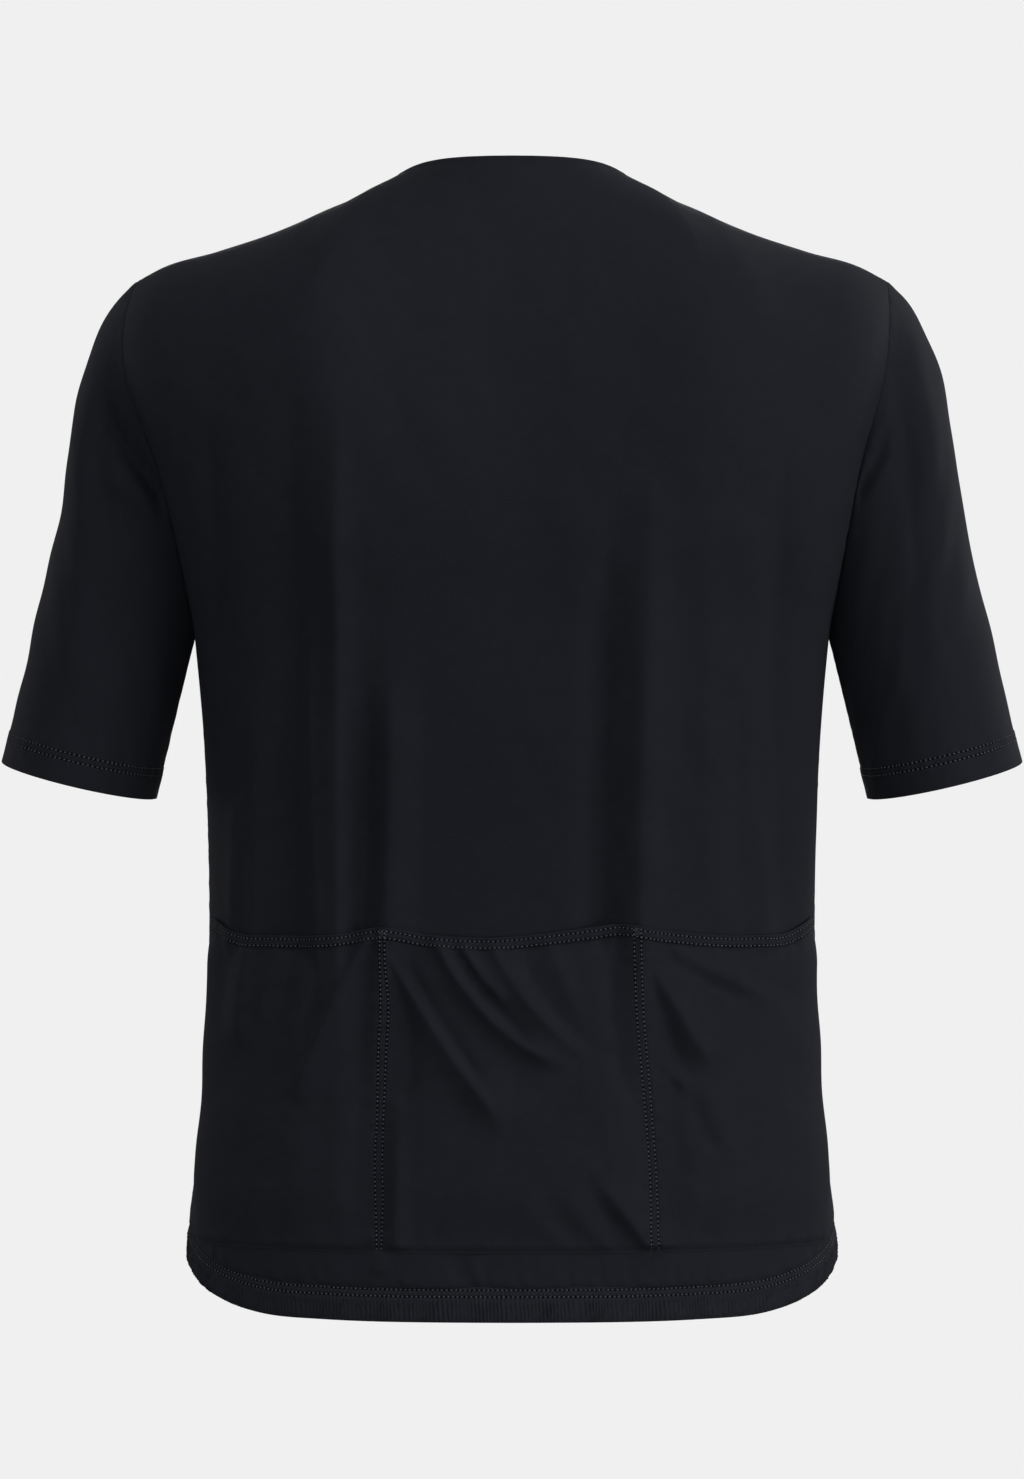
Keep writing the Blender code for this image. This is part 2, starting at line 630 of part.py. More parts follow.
def add_pocket_panel(finish):
    """The pockets' cloth, made from the back's columns: it lies on the back's folds, and stands away from it
    in its own ones and between the dividers. Its top hem is thicker."""
    edge = 90 * POCKET_REACH
    turn = np.concatenate([[-edge], [x for x in back_turns() if abs(x) < edge - 1], [edge]])
    middle_z = (POCKET_BOTTOM_Z + POCKET_TOP["z"][0]) / 2
    top = curve(ring(turn, middle_z + 0 * turn)[:, 0], POCKET_TOP["x"], POCKET_TOP["z"])
    bottom = np.maximum(band_top(turn) + POCKET_LIFT, POCKET_BOTTOM_Z)
    rows = [mix(bottom, top - POCKET_HEM, share) for share in np.linspace(0, 1, POCKET_ROWS)]
    z = np.array(rows + [top])
    turns = np.broadcast_to(turn, z.shape)
    plain = ring(turns, z)
    normals = grid_normals(plain, from_axis(plain))
    across = from_middle(turns)
    level = (z - band_top(turns)) / (UNDERARM_Z - band_top(turns))
    from_divider = np.min([np.abs(plain[..., 0] - x) for x in DIVIDERS], axis=0)
    up = (z - bottom) / (top - bottom)
    full = ease(from_divider, 0, DIVIDER_REACH) * (1 - ease(across, *FULL_UNTIL)) * ease(up, 0, FULL_ABOVE)
    own = body_folds(plain, POCKET_FOLDS, across, level) * ease(up, 0, FOLDED_ABOVE)
    below = body_folds(plain, BACK_FOLDS, across, level)
    height = np.maximum(POCKET_FULLNESS * full * (1 - ease(up, *FULL_BELOW)) + own, below + SEAM_GAP)
    hem = np.zeros(z.shape)
    hem[-2:] = POCKET_HEM_EXTRA
    thickness = (WALL + hem) * (1 - POCKET_THIN * ease(across, POCKET_THINS, POCKET_REACH))
    inner = plain + normals * height[..., None]
    outer = inner + normals * thickness[..., None]
    add_wall("pocket_panel", outer, inner, finish)


def add_hem_band(finish):
    """The elastic hem: gathers stand out of the band's outer face, and the inside is plain."""
    edge = turn_at(TAPE_EDGE, np.array([0.0]), 1)[0]
    turn = np.linspace(-edge, edge, 2 * GATHERS + 1)
    z = mix(hem_z(turn), band_top(turn), GATHER_PROFILE["rise"][:, None])
    plain = ring(np.broadcast_to(turn, z.shape), z)
    normals = grid_normals(plain, from_axis(plain))
    gather = GATHER_HEIGHT * GATHER_PROFILE["proud"][:, None] * (np.arange(len(turn)) % 2)
    outer = plain + normals * gather[..., None]
    inner = (plain - normals * WALL)[[0, -1]]
    outer, inner = pulled_back(outer, inner, ("start", "end", "top"))
    add_wall("hem_band", outer, inner, finish)


def centre_line(low, high, rows):
    """The front's middle between two heights: points, their outward normals, and directions up the zip."""
    band = ring(np.full(2, 180.0), np.array([hem_z(180.0), band_top(180.0) - 1]))
    whole = np.concatenate([band, body(180.0, np.linspace(0, 2, CENTRE_LEVELS))])
    z = np.linspace(low, high, rows + 1)
    points = np.stack([0 * z, curve(z, whole[:, 2], whole[:, 1]), z], axis=1)
    line = unit(np.gradient(points, axis=0))
    return points, turned(np.cross(line, (1, 0, 0)), np.array([0, -1, 0])), line


def add_strip(name, edges, heights, proud, finish, rows=ZIP_ROWS):
    """A strip of the zip between two distances from the front's middle and two heights, proud on both
    faces."""
    points, normals, _ = centre_line(*heights, rows)
    across = np.array([edges[0], sum(edges) / 2, edges[1]])
    fall = across**2 / (2 * FRONT_RADIUS)
    grid = points[:, None, :] + across[:, None] * np.array([1, 0, 0])
    outer = grid + normals[:, None, :] * (proud - fall)[:, None]
    inner = outer - normals[:, None, :] * (WALL + 2 * proud)
    add_wall(name, outer, inner, finish)


def frame_at(down):
    """The matrix of the zip's own axes, a distance below the neckline: x across, y outwards, z up the zip."""
    points, normals, line = centre_line(NECK_FRONT_Z - 2 * down, NECK_FRONT_Z, 2)
    matrix = Matrix.Identity(4)
    for i, axis in enumerate(((-1, 0, 0), normals[1], line[1])):
        for k in range(3):
            matrix[k][i] = axis[k]
    matrix.translation = Vector(points[1]) * MM
    return matrix


def add_block(shape, size, centre):
    made = bmesh.ops.create_cube(shape, size=1)["verts"]
    bmesh.ops.scale(shape, vec=size, verts=made)
    bmesh.ops.translate(shape, vec=centre, verts=made)


def add_slider(frame, finish):
    """The slider's plate with its bridge, joined from two shapes that overlap."""

    def plate(shape):
        add_block(shape, SLIDER_SIZE, (0, SLIDER_SIZE[1] / 2, 0))
        bmesh.ops.bevel(
            shape, geom=shape.edges[:], offset=SLIDER_ROUNDING, segments=2, affect="EDGES", profile=0.6
        )

    def arch(half, top, chamfer):
        side = [(half, -BRIDGE_SINK), (half, top - chamfer), (half - chamfer, top)]
        return side + [(-z, y) for z, y in reversed(side)]

    def bridge(shape):
        half, top = BRIDGE_LENGTH / 2, BRIDGE_CLEAR + BRIDGE_BAR / 2
        eye = arch(half - BRIDGE_BAR, top - BRIDGE_BAR, EYE_CHAMFER)
        outline = arch(half, top, BRIDGE_CHAMFER) + eye[::-1]
        for x in (-BRIDGE_WIDTH / 2, BRIDGE_WIDTH / 2):
            shape.faces.new([shape.verts.new((x, SLIDER_SIZE[1] + y, z)) for z, y in outline])
        bmesh.ops.bridge_loops(shape, edges=shape.edges[:])

    slider = add_object("zip_slider", plate, finish)
    guide = add_object("slider_bridge", bridge, finish)
    guide.hide_render = True
    guide.display_type = "WIRE"
    for made in (slider, guide):
        made.matrix_world = frame
    join = slider.modifiers.new("Bridge", "BOOLEAN")
    join.operation = "UNION"
    join.object = guide


def rounded(half_x, low, high, radius, steps=4):
    """The corners of an upright rectangle, each an arc."""
    points = []
    for x, z, start in ((half_x, high, 0), (-half_x, high, 90), (-half_x, low, 180), (half_x, low, 270)):
        centre = (x - math.copysign(radius, x), z - math.copysign(radius, z - (low + high) / 2))
        for k in range(steps + 1):
            angle = math.radians(start + 90 * k / steps)
            points.append((centre[0] + radius * math.cos(angle), centre[1] + radius * math.sin(angle)))
    return points


def add_pull_tab(frame, finish):
    """The pull tab, a plate hung through its eye on the slider's bridge, with its origin on the hinge's
    axis."""

    def fill(shape):
        hole_x, hole_z = TAB_HOLE
        outer = rounded(TAB_WIDTH / 2, TAB_RIM / 2 - TAB_LENGTH, TAB_RIM / 2, TAB_CORNER)
        hole = rounded(hole_x / 2, -TAB_RIM / 2 - hole_z, -TAB_RIM / 2, HOLE_CORNER)
        rings = []
        for y in (-TAB_THICKNESS / 2, TAB_THICKNESS / 2):
            rings.append([[shape.verts.new((x, y, z)) for x, z in points] for points in (outer, hole)])
        count = len(outer)
        for i in range(count):
            j = (i + 1) % count
            for out, eye in rings:
                shape.faces.new((out[i], out[j], eye[j], eye[i]))
            for k in (0, 1):
                shape.faces.new((rings[0][k][i], rings[0][k][j], rings[1][k][j], rings[1][k][i]))

    tab = add_object("pull_tab", fill, finish, smooth_angle=30)
    tab.matrix_world = frame


def add_zip(tape_finish, metal_finish):
    near, far = CHAIN_HALF_WIDTH + SEAM_GAP, TAPE_EDGE - SEAM_GAP
    foot = hem_z(180.0) + TAPE_FOOT
    box_top, chain_top = foot + BOX_HEIGHT, NECK_FRONT_Z - CHAIN_SETBACK
    middle = (-CHAIN_HALF_WIDTH, CHAIN_HALF_WIDTH)
    add_strip("zip_tape_left", (near, far), (foot, NECK_FRONT_Z), 0.0, tape_finish)
    add_strip("zip_tape_right", (-far, -near), (foot, NECK_FRONT_Z), 0.0, tape_finish)
    add_strip("zip_chain", middle, (box_top + SEAM_GAP, chain_top), CHAIN_PROUD, tape_finish)
    add_strip("zip_box", middle, (foot, box_top), BOX_PROUD, metal_finish, rows=2)
    frame = frame_at(SLIDER_DOWN) @ Matrix.Translation((0, (CHAIN_PROUD + SEAM_GAP) * MM, 0))
    add_slider(frame, metal_finish)
    hinge = Matrix.Translation((0, (SLIDER_SIZE[1] + HINGE_CLEAR) * MM, -HINGE_DROP * MM))
    add_pull_tab(frame @ hinge, metal_finish)


def main():
    for old in list(bpy.data.objects):
        bpy.data.objects.remove(old)
    add_back(material("back_knit", KNIT, 0.8))
    front_knit, sleeve_knit = material("front_knit", KNIT, 0.8), material("sleeve_knit", KNIT, 0.8)
    add_front("front_left", 1, front_knit)
    add_front("front_right", -1, front_knit)
    add_sleeve("sleeve_left", 1, sleeve_knit)
    add_sleeve("sleeve_right", -1, sleeve_knit)
    add_pocket_panel(material("pocket_knit", KNIT, 0.8))
    add_hem_band(material("hem_elastic", KNIT, 0.85))
    add_zip(material("zip_tape", KNIT, 0.7), material("zip_metal", ZIP_METAL, 0.35, 0.9))


main()
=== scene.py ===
"""The looks of a cycling jersey: its knit, folds, seams, sewing, gathers and zip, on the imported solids' form.

Sizes are in millimetres, in the solids' frame, and become metres when a mesh is made. The origin is the
centre of the neck base, +Z is up, the front faces -Y and the wearer's left is +X. "Turn" is the angle in
degrees round the body from the centre of the back, positive towards the wearer's left: 90 is the left side
seam and 180 the zip.
"""

import json
import math
import random
from types import SimpleNamespace

import bmesh
import bpy
import numpy as np
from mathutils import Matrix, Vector

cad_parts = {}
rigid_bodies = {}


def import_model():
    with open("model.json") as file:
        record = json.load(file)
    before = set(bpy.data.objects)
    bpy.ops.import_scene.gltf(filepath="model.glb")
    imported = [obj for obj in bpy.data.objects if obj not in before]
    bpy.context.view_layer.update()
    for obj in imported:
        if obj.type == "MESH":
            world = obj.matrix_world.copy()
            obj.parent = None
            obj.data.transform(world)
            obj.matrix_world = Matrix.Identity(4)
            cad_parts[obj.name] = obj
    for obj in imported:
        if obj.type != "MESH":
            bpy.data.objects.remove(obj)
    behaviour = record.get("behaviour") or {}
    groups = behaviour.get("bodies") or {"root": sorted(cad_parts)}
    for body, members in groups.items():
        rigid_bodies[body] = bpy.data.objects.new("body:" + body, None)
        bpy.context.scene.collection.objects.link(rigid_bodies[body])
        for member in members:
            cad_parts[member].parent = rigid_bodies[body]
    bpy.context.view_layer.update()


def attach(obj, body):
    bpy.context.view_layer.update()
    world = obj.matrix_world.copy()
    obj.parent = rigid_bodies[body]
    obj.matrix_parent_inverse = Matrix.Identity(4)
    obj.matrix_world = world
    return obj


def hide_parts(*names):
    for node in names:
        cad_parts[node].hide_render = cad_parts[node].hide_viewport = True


MM = 0.001
KNIT = 0.9  # thickness of the cloth
HALVINGS = 40


def table(columns, *rows):
    """A short table, as a dictionary of its named columns."""
    return dict(zip(columns.split(), np.array(rows, float).T))


def fold_table(*rows):
    """Folds, each a soft ridge (height over 0) or trough from its upper to its lower end, bowed towards the
    wearer's left in its middle, with its own half width on the wearer's left and right side."""
    return table("start_1 start_2 end_1 end_2 bow height left right", *rows)


# Body, below the underarm: rings of a superellipse.
UNDERARM_Z = -278.0
RINGS = table(
    "z half_width back front squareness",
    (-278, 189.6, 112, 113, 2.45),
    (-334, 184.9, 106, 109, 2.40),
    (-394, 182.2, 97, 105, 2.35),
    (-454, 181.4, 93, 103, 2.35),
    (-526, 184.0, 97, 104, 2.35),
    (-586, 188.4, 104, 106, 2.35),
    (-649, 195.0, 110, 108, 2.30),
    (-677, 195.2, 112, 108, 2.30),
)
HEM = table(
    "turn z",
    (0, -677.0),
    (30, -676.5),
    (45, -675.0),
    (54, -671.5),
    (62, -667.0),
    (70, -661.5),
    (78, -654.5),
    (90, -645.0),
    (110, -633.0),
    (140, -620.0),
    (180, -612.0),
)
HEM_BAND = 20.0

# Yoke, above the underarm.
NECK_SHARE = 0.38  # of a half width, the columns that end at the neckline
NECK_HALF_WIDTH = 70.0
NECK_BACK, NECK_BACK_Z = 60.0, 3.6
NECK_FRONT, NECK_FRONT_Z = 76.0, -58.0
SHOULDER = table(
    "x z",
    (70, -4.0),
    (84, -11.6),
    (99, -18.0),
    (119, -27.2),
    (140, -35.8),
    (175, -47.2),
    (211, -57.8),
    (224, -65.2),
)
SHOULDER_Y = -6.0
MID_CENTRE = {"back": 117.0, "front": 112.0}  # depth at half the armhole's height, in the middle
MID_ARMHOLE = {"back": 44.0, "front": 46.0}  # and at the armhole seam
MID_SQUARENESS = 2.2
LEAVE_CENTRE = (60.0, 290.0)  # how a column leaves the underarm ring, in depth and height, in the middle,
LEAVE_ARMHOLE = (200.0, 200.0)  # and at the armhole
LEAVE_CHANGE = (0.35, 0.95)  # of a half width, where the one becomes the other
# The direction in which a column of the back's left half arrives: in the middle of the neckline, at the
# corner of neckline and shoulder seam, and further out on the shoulder seam.
ARRIVE_CENTRE = (0.0, -0.55, 0.83)
ARRIVE_NECK = (-0.36, -0.91, 0.19)
ARRIVE_SHOULDER = (0.0, -1.0, 0.0)
ARRIVE_CHANGE = (NECK_SHARE, 0.8)  # of a half width, from the corner's direction to the last one
ARMHOLE_BOW = {1: 14.0, -1: 6.0}  # how far the seam swings out, by the side's sign
BOW_LIFT = 2.4  # a bow's widest place is higher with a larger number
SWING_REACH = 3  # bow and scoop stay nearer to the armhole with a larger number
FRONT_SCOOP = 9.0
SEAM_STEP = 0.0001  # degrees off a side seam, to be on one panel's side of it
UPWARDS = np.array([0, 0, 0.2])  # how far the body's rough outward direction leans up

# Sleeves, by the wearer's left one.
CUFF_CENTRE = (260.3, -8.0, -364.2)
CUFF_HALF_WIDTH, CUFF_HALF_DEPTH = 47.5, 54.0
SLEEVE_LEAN = 13.6  # degrees from straight down
SHOULDER_FALL = 31.0  # degrees below level, where the sleeve leaves the shoulder
CUFF_DROP = 3.5  # how far the middle of the cuff hangs below its ends, as seen from behind
OUTSIDE_SHARE = 1.2  # the outside's curve takes over later round the sleeve with a larger number
FIRST_PULL = (0.9, 0.45)  # how long a line down the sleeve keeps its first direction, underneath and outside,
LAST_PULL = (0.9, 0.8)  # and its last one
UNDERARM_TUCK = 0.24  # how far down the sleeve's wall faces where it starts under the arm
OUTER_ARM = table(
    "along proud",
    (0.0, 0.0),
    (0.12, 2.4),
    (0.25, 4.0),
    (0.40, 0.4),
    (0.55, -4.2),
    (0.75, -2.2),
    (1.0, 0.0),
)

# Rear pockets, on the back panel.
POCKET_BOTTOM_Z = -637.5
POCKET_TOP = table(
    "x z",
    (-180, -445.0),
    (-168, -452.5),
    (-145, -454.5),
    (-95, -451.0),
    (-71, -447.0),
    (-50, -449.0),
    (18, -455.0),
    (52, -453.0),
    (78, -449.0),
    (98, -452.5),
    (140, -454.5),
    (166, -452.5),
    (178, -446.0),
)
POCKET_REACH = 0.98  # of the back's half width
POCKET_LIFT = 3.0  # above the hem band's seam, where that is higher than the pockets' bottom
POCKET_THIN, POCKET_THINS = 0.6, (0.76, 0.9)  # how much thinner it is at its sides, and where that starts
POCKET_FULLNESS = 4.5
FULL_ABOVE, FULL_BELOW = 0.2, (0.85, 1.0)  # of the pockets' height
FOLDED_ABOVE = 0.025  # of it too
FULL_UNTIL = (0.8, 0.95)  # of the back's half width
DIVIDER_REACH = 27.0  # how far a divider holds the pockets down

# On the body and the pockets, a fold's ends are given by x and z.
BACK_FOLDS = fold_table(
    (-80, -196, -72, -540, 1, 9.0, 14, 14),
    (-58, -219, -54, -482, 4, -7.2, 9, 13),
    (70, -290, 79, -540, -3, 6.4, 9, 15),
    (84, -310, 89, -482, 0, -5.4, 8, 9),
    (101, -150, 98, -520, 0, 7.0, 9, 8),
    (127, -145, 130, -520, 0, -7.4, 13, 11),
    (-157, -180, -163, -456, 3, -4.5, 12, 8),
    (-178, -180, -176, -456, 2, 2.0, 9, 8),
    (-137, -201, -139, -352, -3, 2.0, 13, 13),
)
BACK_SWELLS = fold_table(
    (118, -60, 102, -250, 0, 5.5, 32, 44),
    (-118, -60, -108, -250, 0, 5.0, 32, 40),
    (-2, -80, -2, -300, 0, -3.0, 34, 34),
    (110, -300, 110, -520, 0, 4.5, 34, 10),
)
BACK_CREASES = fold_table(
    (119, -262, 111, -478, 0, 2.8, 5, 4),
    (149, -318, 152, -478, 0, 2.8, 6, 5),
    (162, -365, 165, -478, 0, 2.6, 5, 4),
    (176, -150, 173, -300, 0, -3.6, 7, 8),
    (-112, -201, -113, -420, -1, 1.6, 9, 12),
    (-132, -317, -137, -467, 0, -1.8, 9, 9),
    (-148, -385, -150, -470, 0, 1.8, 8, 5),
    (54, -259, 57, -460, -4, -0.8, 10, 10),
)
POCKET_FOLDS = fold_table(
    (77, -457, 8, -562, 1, 8.4, 7, 12),
    (66, -460, 14, -544, 2, -6.2, 6, 6),
    (76, -474, 61, -550, 0, -5.0, 7, 10),
    (44, -456, -25, -529, 9, 7.4, 5, 10),
    (30, -457, 4, -493, 2, 4.2, 4, 6),
    (27, -470, -12, -518, 2, -5.4, 6, 5),
    (13, -457, -39, -522, 5, 5.6, 6, 12),
    (-6, -468, -44, -518, 4, -3.4, 7, 8),
    (79.5, -454, 79, -482, 0, -3.2, 2.6, 2.6),
    (-79, -470, -113, -529, 1, 5.4, 7, 8),
    (-69, -478, -102, -536, 1, -3.8, 6, 6),
    (-72, -452, -76, -530, 0, 3.2, 4, 5),
    (-66, -452, -70, -528, 0, -2.2, 4, 5),
    (-87, -458, -140, -488, 1, 2.0, 4, 7),
    (-83, -463, -134, -493, 1, -1.4, 4, 5),
    (-79, -524, -100, -543, 0, 2.4, 4, 5),
    (-80, -532, -96, -547, 0, -1.8, 4, 4),
    (85, -458, 124, -548, 2, 6.0, 6, 10),
    (98, -468, 126, -540, 2, -3.4, 7, 6),
)
POCKET_CREASES = fold_table(
    (106, -455, 128, -530, 0, 2.8, 7, 5),
    (135, -455, 145, -505, 0, 2.0, 6, 5),
    (153, -454, 157, -520, 0, 3.4, 8, 5),
    (165, -455, 168, -514, 0, -1.6, 5, 5),
    (123, -455, 134, -496, 0, -1.4, 5, 5),
    (29, -456, 16, -486, 0, 1.8, 4, 4),
    (-21, -457, -39, -502, 0, 1.6, 6, 6),
    (-53, -457, -60, -508, -1, -1.2, 7, 6),
    (-112, -456, -149, -496, 2, 1.4, 6, 6),
    (-122, -461, -167, -491, 2, -1.4, 6, 6),
    (-104, -552, -117, -580, 1, -1.6, 5, 6),
    (-112, -548, -126, -582, 1, 1.4, 6, 8),
    (-58, -537, -65, -595, -1, 1.4, 12, 12),
    (-90, -537, -100, -601, 2, -1.6, 10, 10),
)
POCKET_FOOT_FOLDS = fold_table(
    (84, -510, 84, -630, 1, -3.2, 7, 7),
    (67, -505, 67, -636, -1, 4.0, 7, 7),
    (-40, -580, -80, -636, 1, 4.6, 3.2, 12),
    (-38, -590, -75, -641, 1, -3.2, 6, 3),
    (-20, -590, -57, -636, 2, 1.6, 5, 9),
    (-14, -600, -43, -636, 1, -1.2, 6, 5),
    (6, -592, -30, -634, 2, 1.0, 6, 9),
    (31, -580, 53, -634, -2, -1.8, 8, 8),
)
HEM_CREASES = fold_table(
    (76, -636, 76, -650, 0, 1.6, 6, 6),
    (33, -639, 28, -655, 0, -1.0, 6, 6),
    (23, -639, 19, -655, 1, 1.0, 6, 6),
)
FRONT_FOLDS = fold_table(
    (112, -230, 88, -450, 4, 5.5, 14, 11),
    (84, -250, 64, -440, 3, -4.0, 11, 11),
    (140, -240, 122, -520, 3, -5.0, 12, 12),
    (-108, -220, -92, -460, -4, 5.5, 11, 14),
    (-82, -250, -66, -440, -3, -3.6, 11, 11),
    (-138, -250, -118, -540, -3, -5.0, 12, 12),
    (58, -430, 40, -600, 2, 3.8, 12, 12),
    (-66, -440, -44, -600, -2, 3.8, 12, 12),
)
FRONT_CREASES = fold_table(
    (30, -330, 26, -560, 2, 1.6, 9, 9),
    (44, -470, 30, -600, -2, -1.6, 8, 8),
    (150, -330, 138, -560, -3, 2.0, 11, 11),
    (-34, -300, -28, -520, -2, 1.6, 9, 9),
    (-48, -450, -30, -590, 2, -1.8, 8, 8),
    (-152, -320, -140, -560, 3, 2.2, 11, 11),
    (96, -120, 128, -205, 6, -1.6, 12, 12),
    (-98, -124, -130, -210, -6, -1.6, 12, 12),
)
# On a sleeve, they are given by the turn round it, 0 at the underarm, 90 at the back and 180 outside, and by
# the percentage of the way from the armhole to the cuff.
SLEEVE_FOLDS = fold_table(
    (105, 14, 66, 60, 0, -1.8, 15, 15),
    (128, 16, 92, 66, 0, 1.6, 15, 15),
    (262, 14, 300, 60, 0, -3.4, 14, 14),
    (240, 18, 276, 70, 0, 2.6, 14, 14),
)
SLEEVE_CREASES = fold_table(
    (118, 4, 84, 38, 0, -1.6, 9, 9),
    (92, 22, 60, 74, 0, 1.4, 9, 9),
    (236, 8, 268, 46, 0, -1.6, 9, 9),
    (286, 30, 308, 80, 0, 1.4, 9, 9),
)
# The hollows beside the armhole seam, by the side's sign.
SLEEVE_HOLLOWS = {
    1: fold_table(
        (114, 18, 56, 1, -2, -7.0, 4.6, 2.6),
        (100, 27, 60, 9, -1, 2.2, 3.4, 3.0),
    ),
    -1: fold_table(
        (92, 11, 60, 3, -1, -3.4, 3.0, 2.4),
        (104, 7, 78, 1, 0, 1.4, 1.6, 1.6),
        (121, 9, 108, 6, 0, -0.8, 1.4, 1.4),
    ),
}
POCKET_CREST, BODY_CREST, PLAIN_CREST = 1.35, 1.6, 2.0  # a fold's crest is sharper with a smaller number
FOLD_SWELLS, FOLD_FADES = (-0.1, 0.3), (0.8, 1.1)  # of a fold's length
POCKET_SWELLS = (-0.3, 0.12)  # the same for the pockets' folds, which start sharply under the top hem,
FOOT_SWELLS, FOOT_FADES = (0.0, 0.85), (1.0, 1.3)  # and for those that end sharply at their bottom
BODY_FOLDS_SIDE = (0.86, 0.98)  # of a half width, where the body's folds die out,
BODY_FOLDS_TOP = (1.7, 1.95)  # and the levels where they do
SLEEVE_FOLDS_START, SLEEVE_FOLDS_END = (0, 12), (75, 95)  # percent along the sleeve


def mix(first, second, share):
    return first + (second - first) * share


def hermite(s, start, end, leave, arrive):
    """A cubic between two values with the slopes it leaves and arrives with."""
    near = (1 + 2 * s) * (1 - s) ** 2 * start + s * (1 - s) ** 2 * leave
    return near + s * s * (3 - 2 * s) * end + s * s * (s - 1) * arrive


def curve(at, xs, ys):
    """A smooth value between the rows of a table, held level beyond its ends."""
    order = np.argsort(xs)
    xs, ys = xs[order], ys[order]
    slope = np.gradient(ys, xs)
    at = np.clip(at, xs[0], xs[-1])
    k = np.clip(np.searchsorted(xs, at, side="right") - 1, 0, len(xs) - 2)
    span = xs[k + 1] - xs[k]
    s = (at - xs[k]) / span
    return hermite(s, ys[k], ys[k + 1], span * slope[k], span * slope[k + 1])


def ease(at, start, end):
    """0 before start, 1 after end, and a smooth step between."""
    s = np.clip((at - start) / (end - start), 0, 1)
    return s * s * (3 - 2 * s)


def until(at, start, end):
    """1 before start, 0 after end, and a smooth step between."""
    return 1 - ease(at, start, end)


def unit(vectors):
    return vectors / np.maximum(np.linalg.norm(vectors, axis=-1, keepdims=True), 1e-9)


def signed_power(values, power):
    return np.sign(values) * np.abs(values) ** power


def ring(turn, z):
    """The body's outline at a height: wider than deep, with full corners."""
    size = {name: curve(z, RINGS["z"], RINGS[name]) for name in RINGS if name != "z"}
    angle = np.radians(turn)
    power = 2 / size["squareness"]
    across = signed_power(np.sin(angle), power)
    deep = signed_power(np.cos(angle), power)
    depth = np.where(deep > 0, size["back"], size["front"])
    return np.stack([size["half_width"] * across, depth * deep, z + 0 * turn], axis=-1)


def hem_z(turn):
    return curve(np.abs(turn), HEM["turn"], HEM["z"])


def band_top(turn):
    return hem_z(turn) + HEM_BAND


def top_line(share, back):
    """Where a column ends: on the neckline, or further out on the shoulder seam."""
    round_neck = np.radians(90 * np.clip(share / NECK_SHARE, 0, 1))
    out = np.clip((share - NECK_SHARE) / (1 - NECK_SHARE), 0, 1)
    x = NECK_HALF_WIDTH * np.sin(round_neck) + (SHOULDER["x"][-1] - NECK_HALF_WIDTH) * out
    forward = np.where(back, NECK_BACK, -NECK_FRONT)
    y = SHOULDER_Y + (forward - SHOULDER_Y) * np.cos(round_neck)
    centre_z = np.where(back, NECK_BACK_Z, NECK_FRONT_Z)
    side_z = SHOULDER["z"][0]
    drop = np.where(back, 1 - np.sin(round_neck) ** 5, np.cos(round_neck).clip(0) ** 1.25)
    z = side_z + (centre_z - side_z) * drop
    z = np.where(out > 0, curve(x, SHOULDER["x"], SHOULDER["z"]), z)
    return np.stack([x, y, z], axis=-1)


def from_middle(turn):
    """How far across its panel a turn is: 0 in the middle of the back or front, and 1 at the side seam."""
    return np.where(np.abs(turn) <= 90, np.abs(turn), 180 - np.abs(turn)) / 90


def yoke(turn, rise):
    """The body above the underarm: each column arches from the underarm ring to the neckline or shoulder."""
    back, side = np.abs(turn) <= 90, np.sign(turn)
    share, facing = from_middle(turn), np.where(back, 1, -1)
    low = ring(turn, UNDERARM_Z + 0 * rise)
    low_x, low_y = np.abs(low[..., 0]), low[..., 1]
    top_x, top_y, top_z = np.moveaxis(top_line(share, back), -1, 0)
    armhole_y = np.where(back, MID_ARMHOLE["back"], MID_ARMHOLE["front"])
    centre_y = np.where(back, MID_CENTRE["back"], MID_CENTRE["front"])
    middle_y = facing * mix(armhole_y, centre_y, (1 - share**MID_SQUARENESS).clip(0) ** (1 / MID_SQUARENESS))
    to_armhole = ease(share, *LEAVE_CHANGE)
    leave_y = facing * mix(LEAVE_CENTRE[0], LEAVE_ARMHOLE[0], to_armhole)
    leave_z = mix(LEAVE_CENTRE[1], LEAVE_ARMHOLE[1], to_armhole)
    arrive = mix(np.array(ARRIVE_CENTRE), np.array(ARRIVE_NECK), ease(share, 0, NECK_SHARE)[..., None])
    arrive = mix(arrive, np.array(ARRIVE_SHOULDER), ease(share, *ARRIVE_CHANGE)[..., None])
    arrive_y = leave_y - 8 * (middle_y - (low_y + top_y) / 2)  # this puts the middle of the cubic at middle_y
    strength = np.abs(arrive_y / arrive[..., 1])
    y = hermite(rise, low_y, top_y, leave_y, arrive_y)
    z = hermite(rise, UNDERARM_Z, top_z, leave_z, strength * arrive[..., 2])
    x = hermite(rise, low_x, top_x, top_x - low_x, top_x - low_x + strength * arrive[..., 0])
    up = np.clip((z - UNDERARM_Z) / (top_z - UNDERARM_Z), 0, 1)
    bow = np.where(side > 0, ARMHOLE_BOW[1], ARMHOLE_BOW[-1]) * np.sin(np.pi * up**BOW_LIFT)
    scoop = np.where(back, 0, FRONT_SCOOP) * np.sin(np.pi * up)
    x = x + (bow - scoop) * share**SWING_REACH
    return np.stack([side * x, y, z], axis=-1)


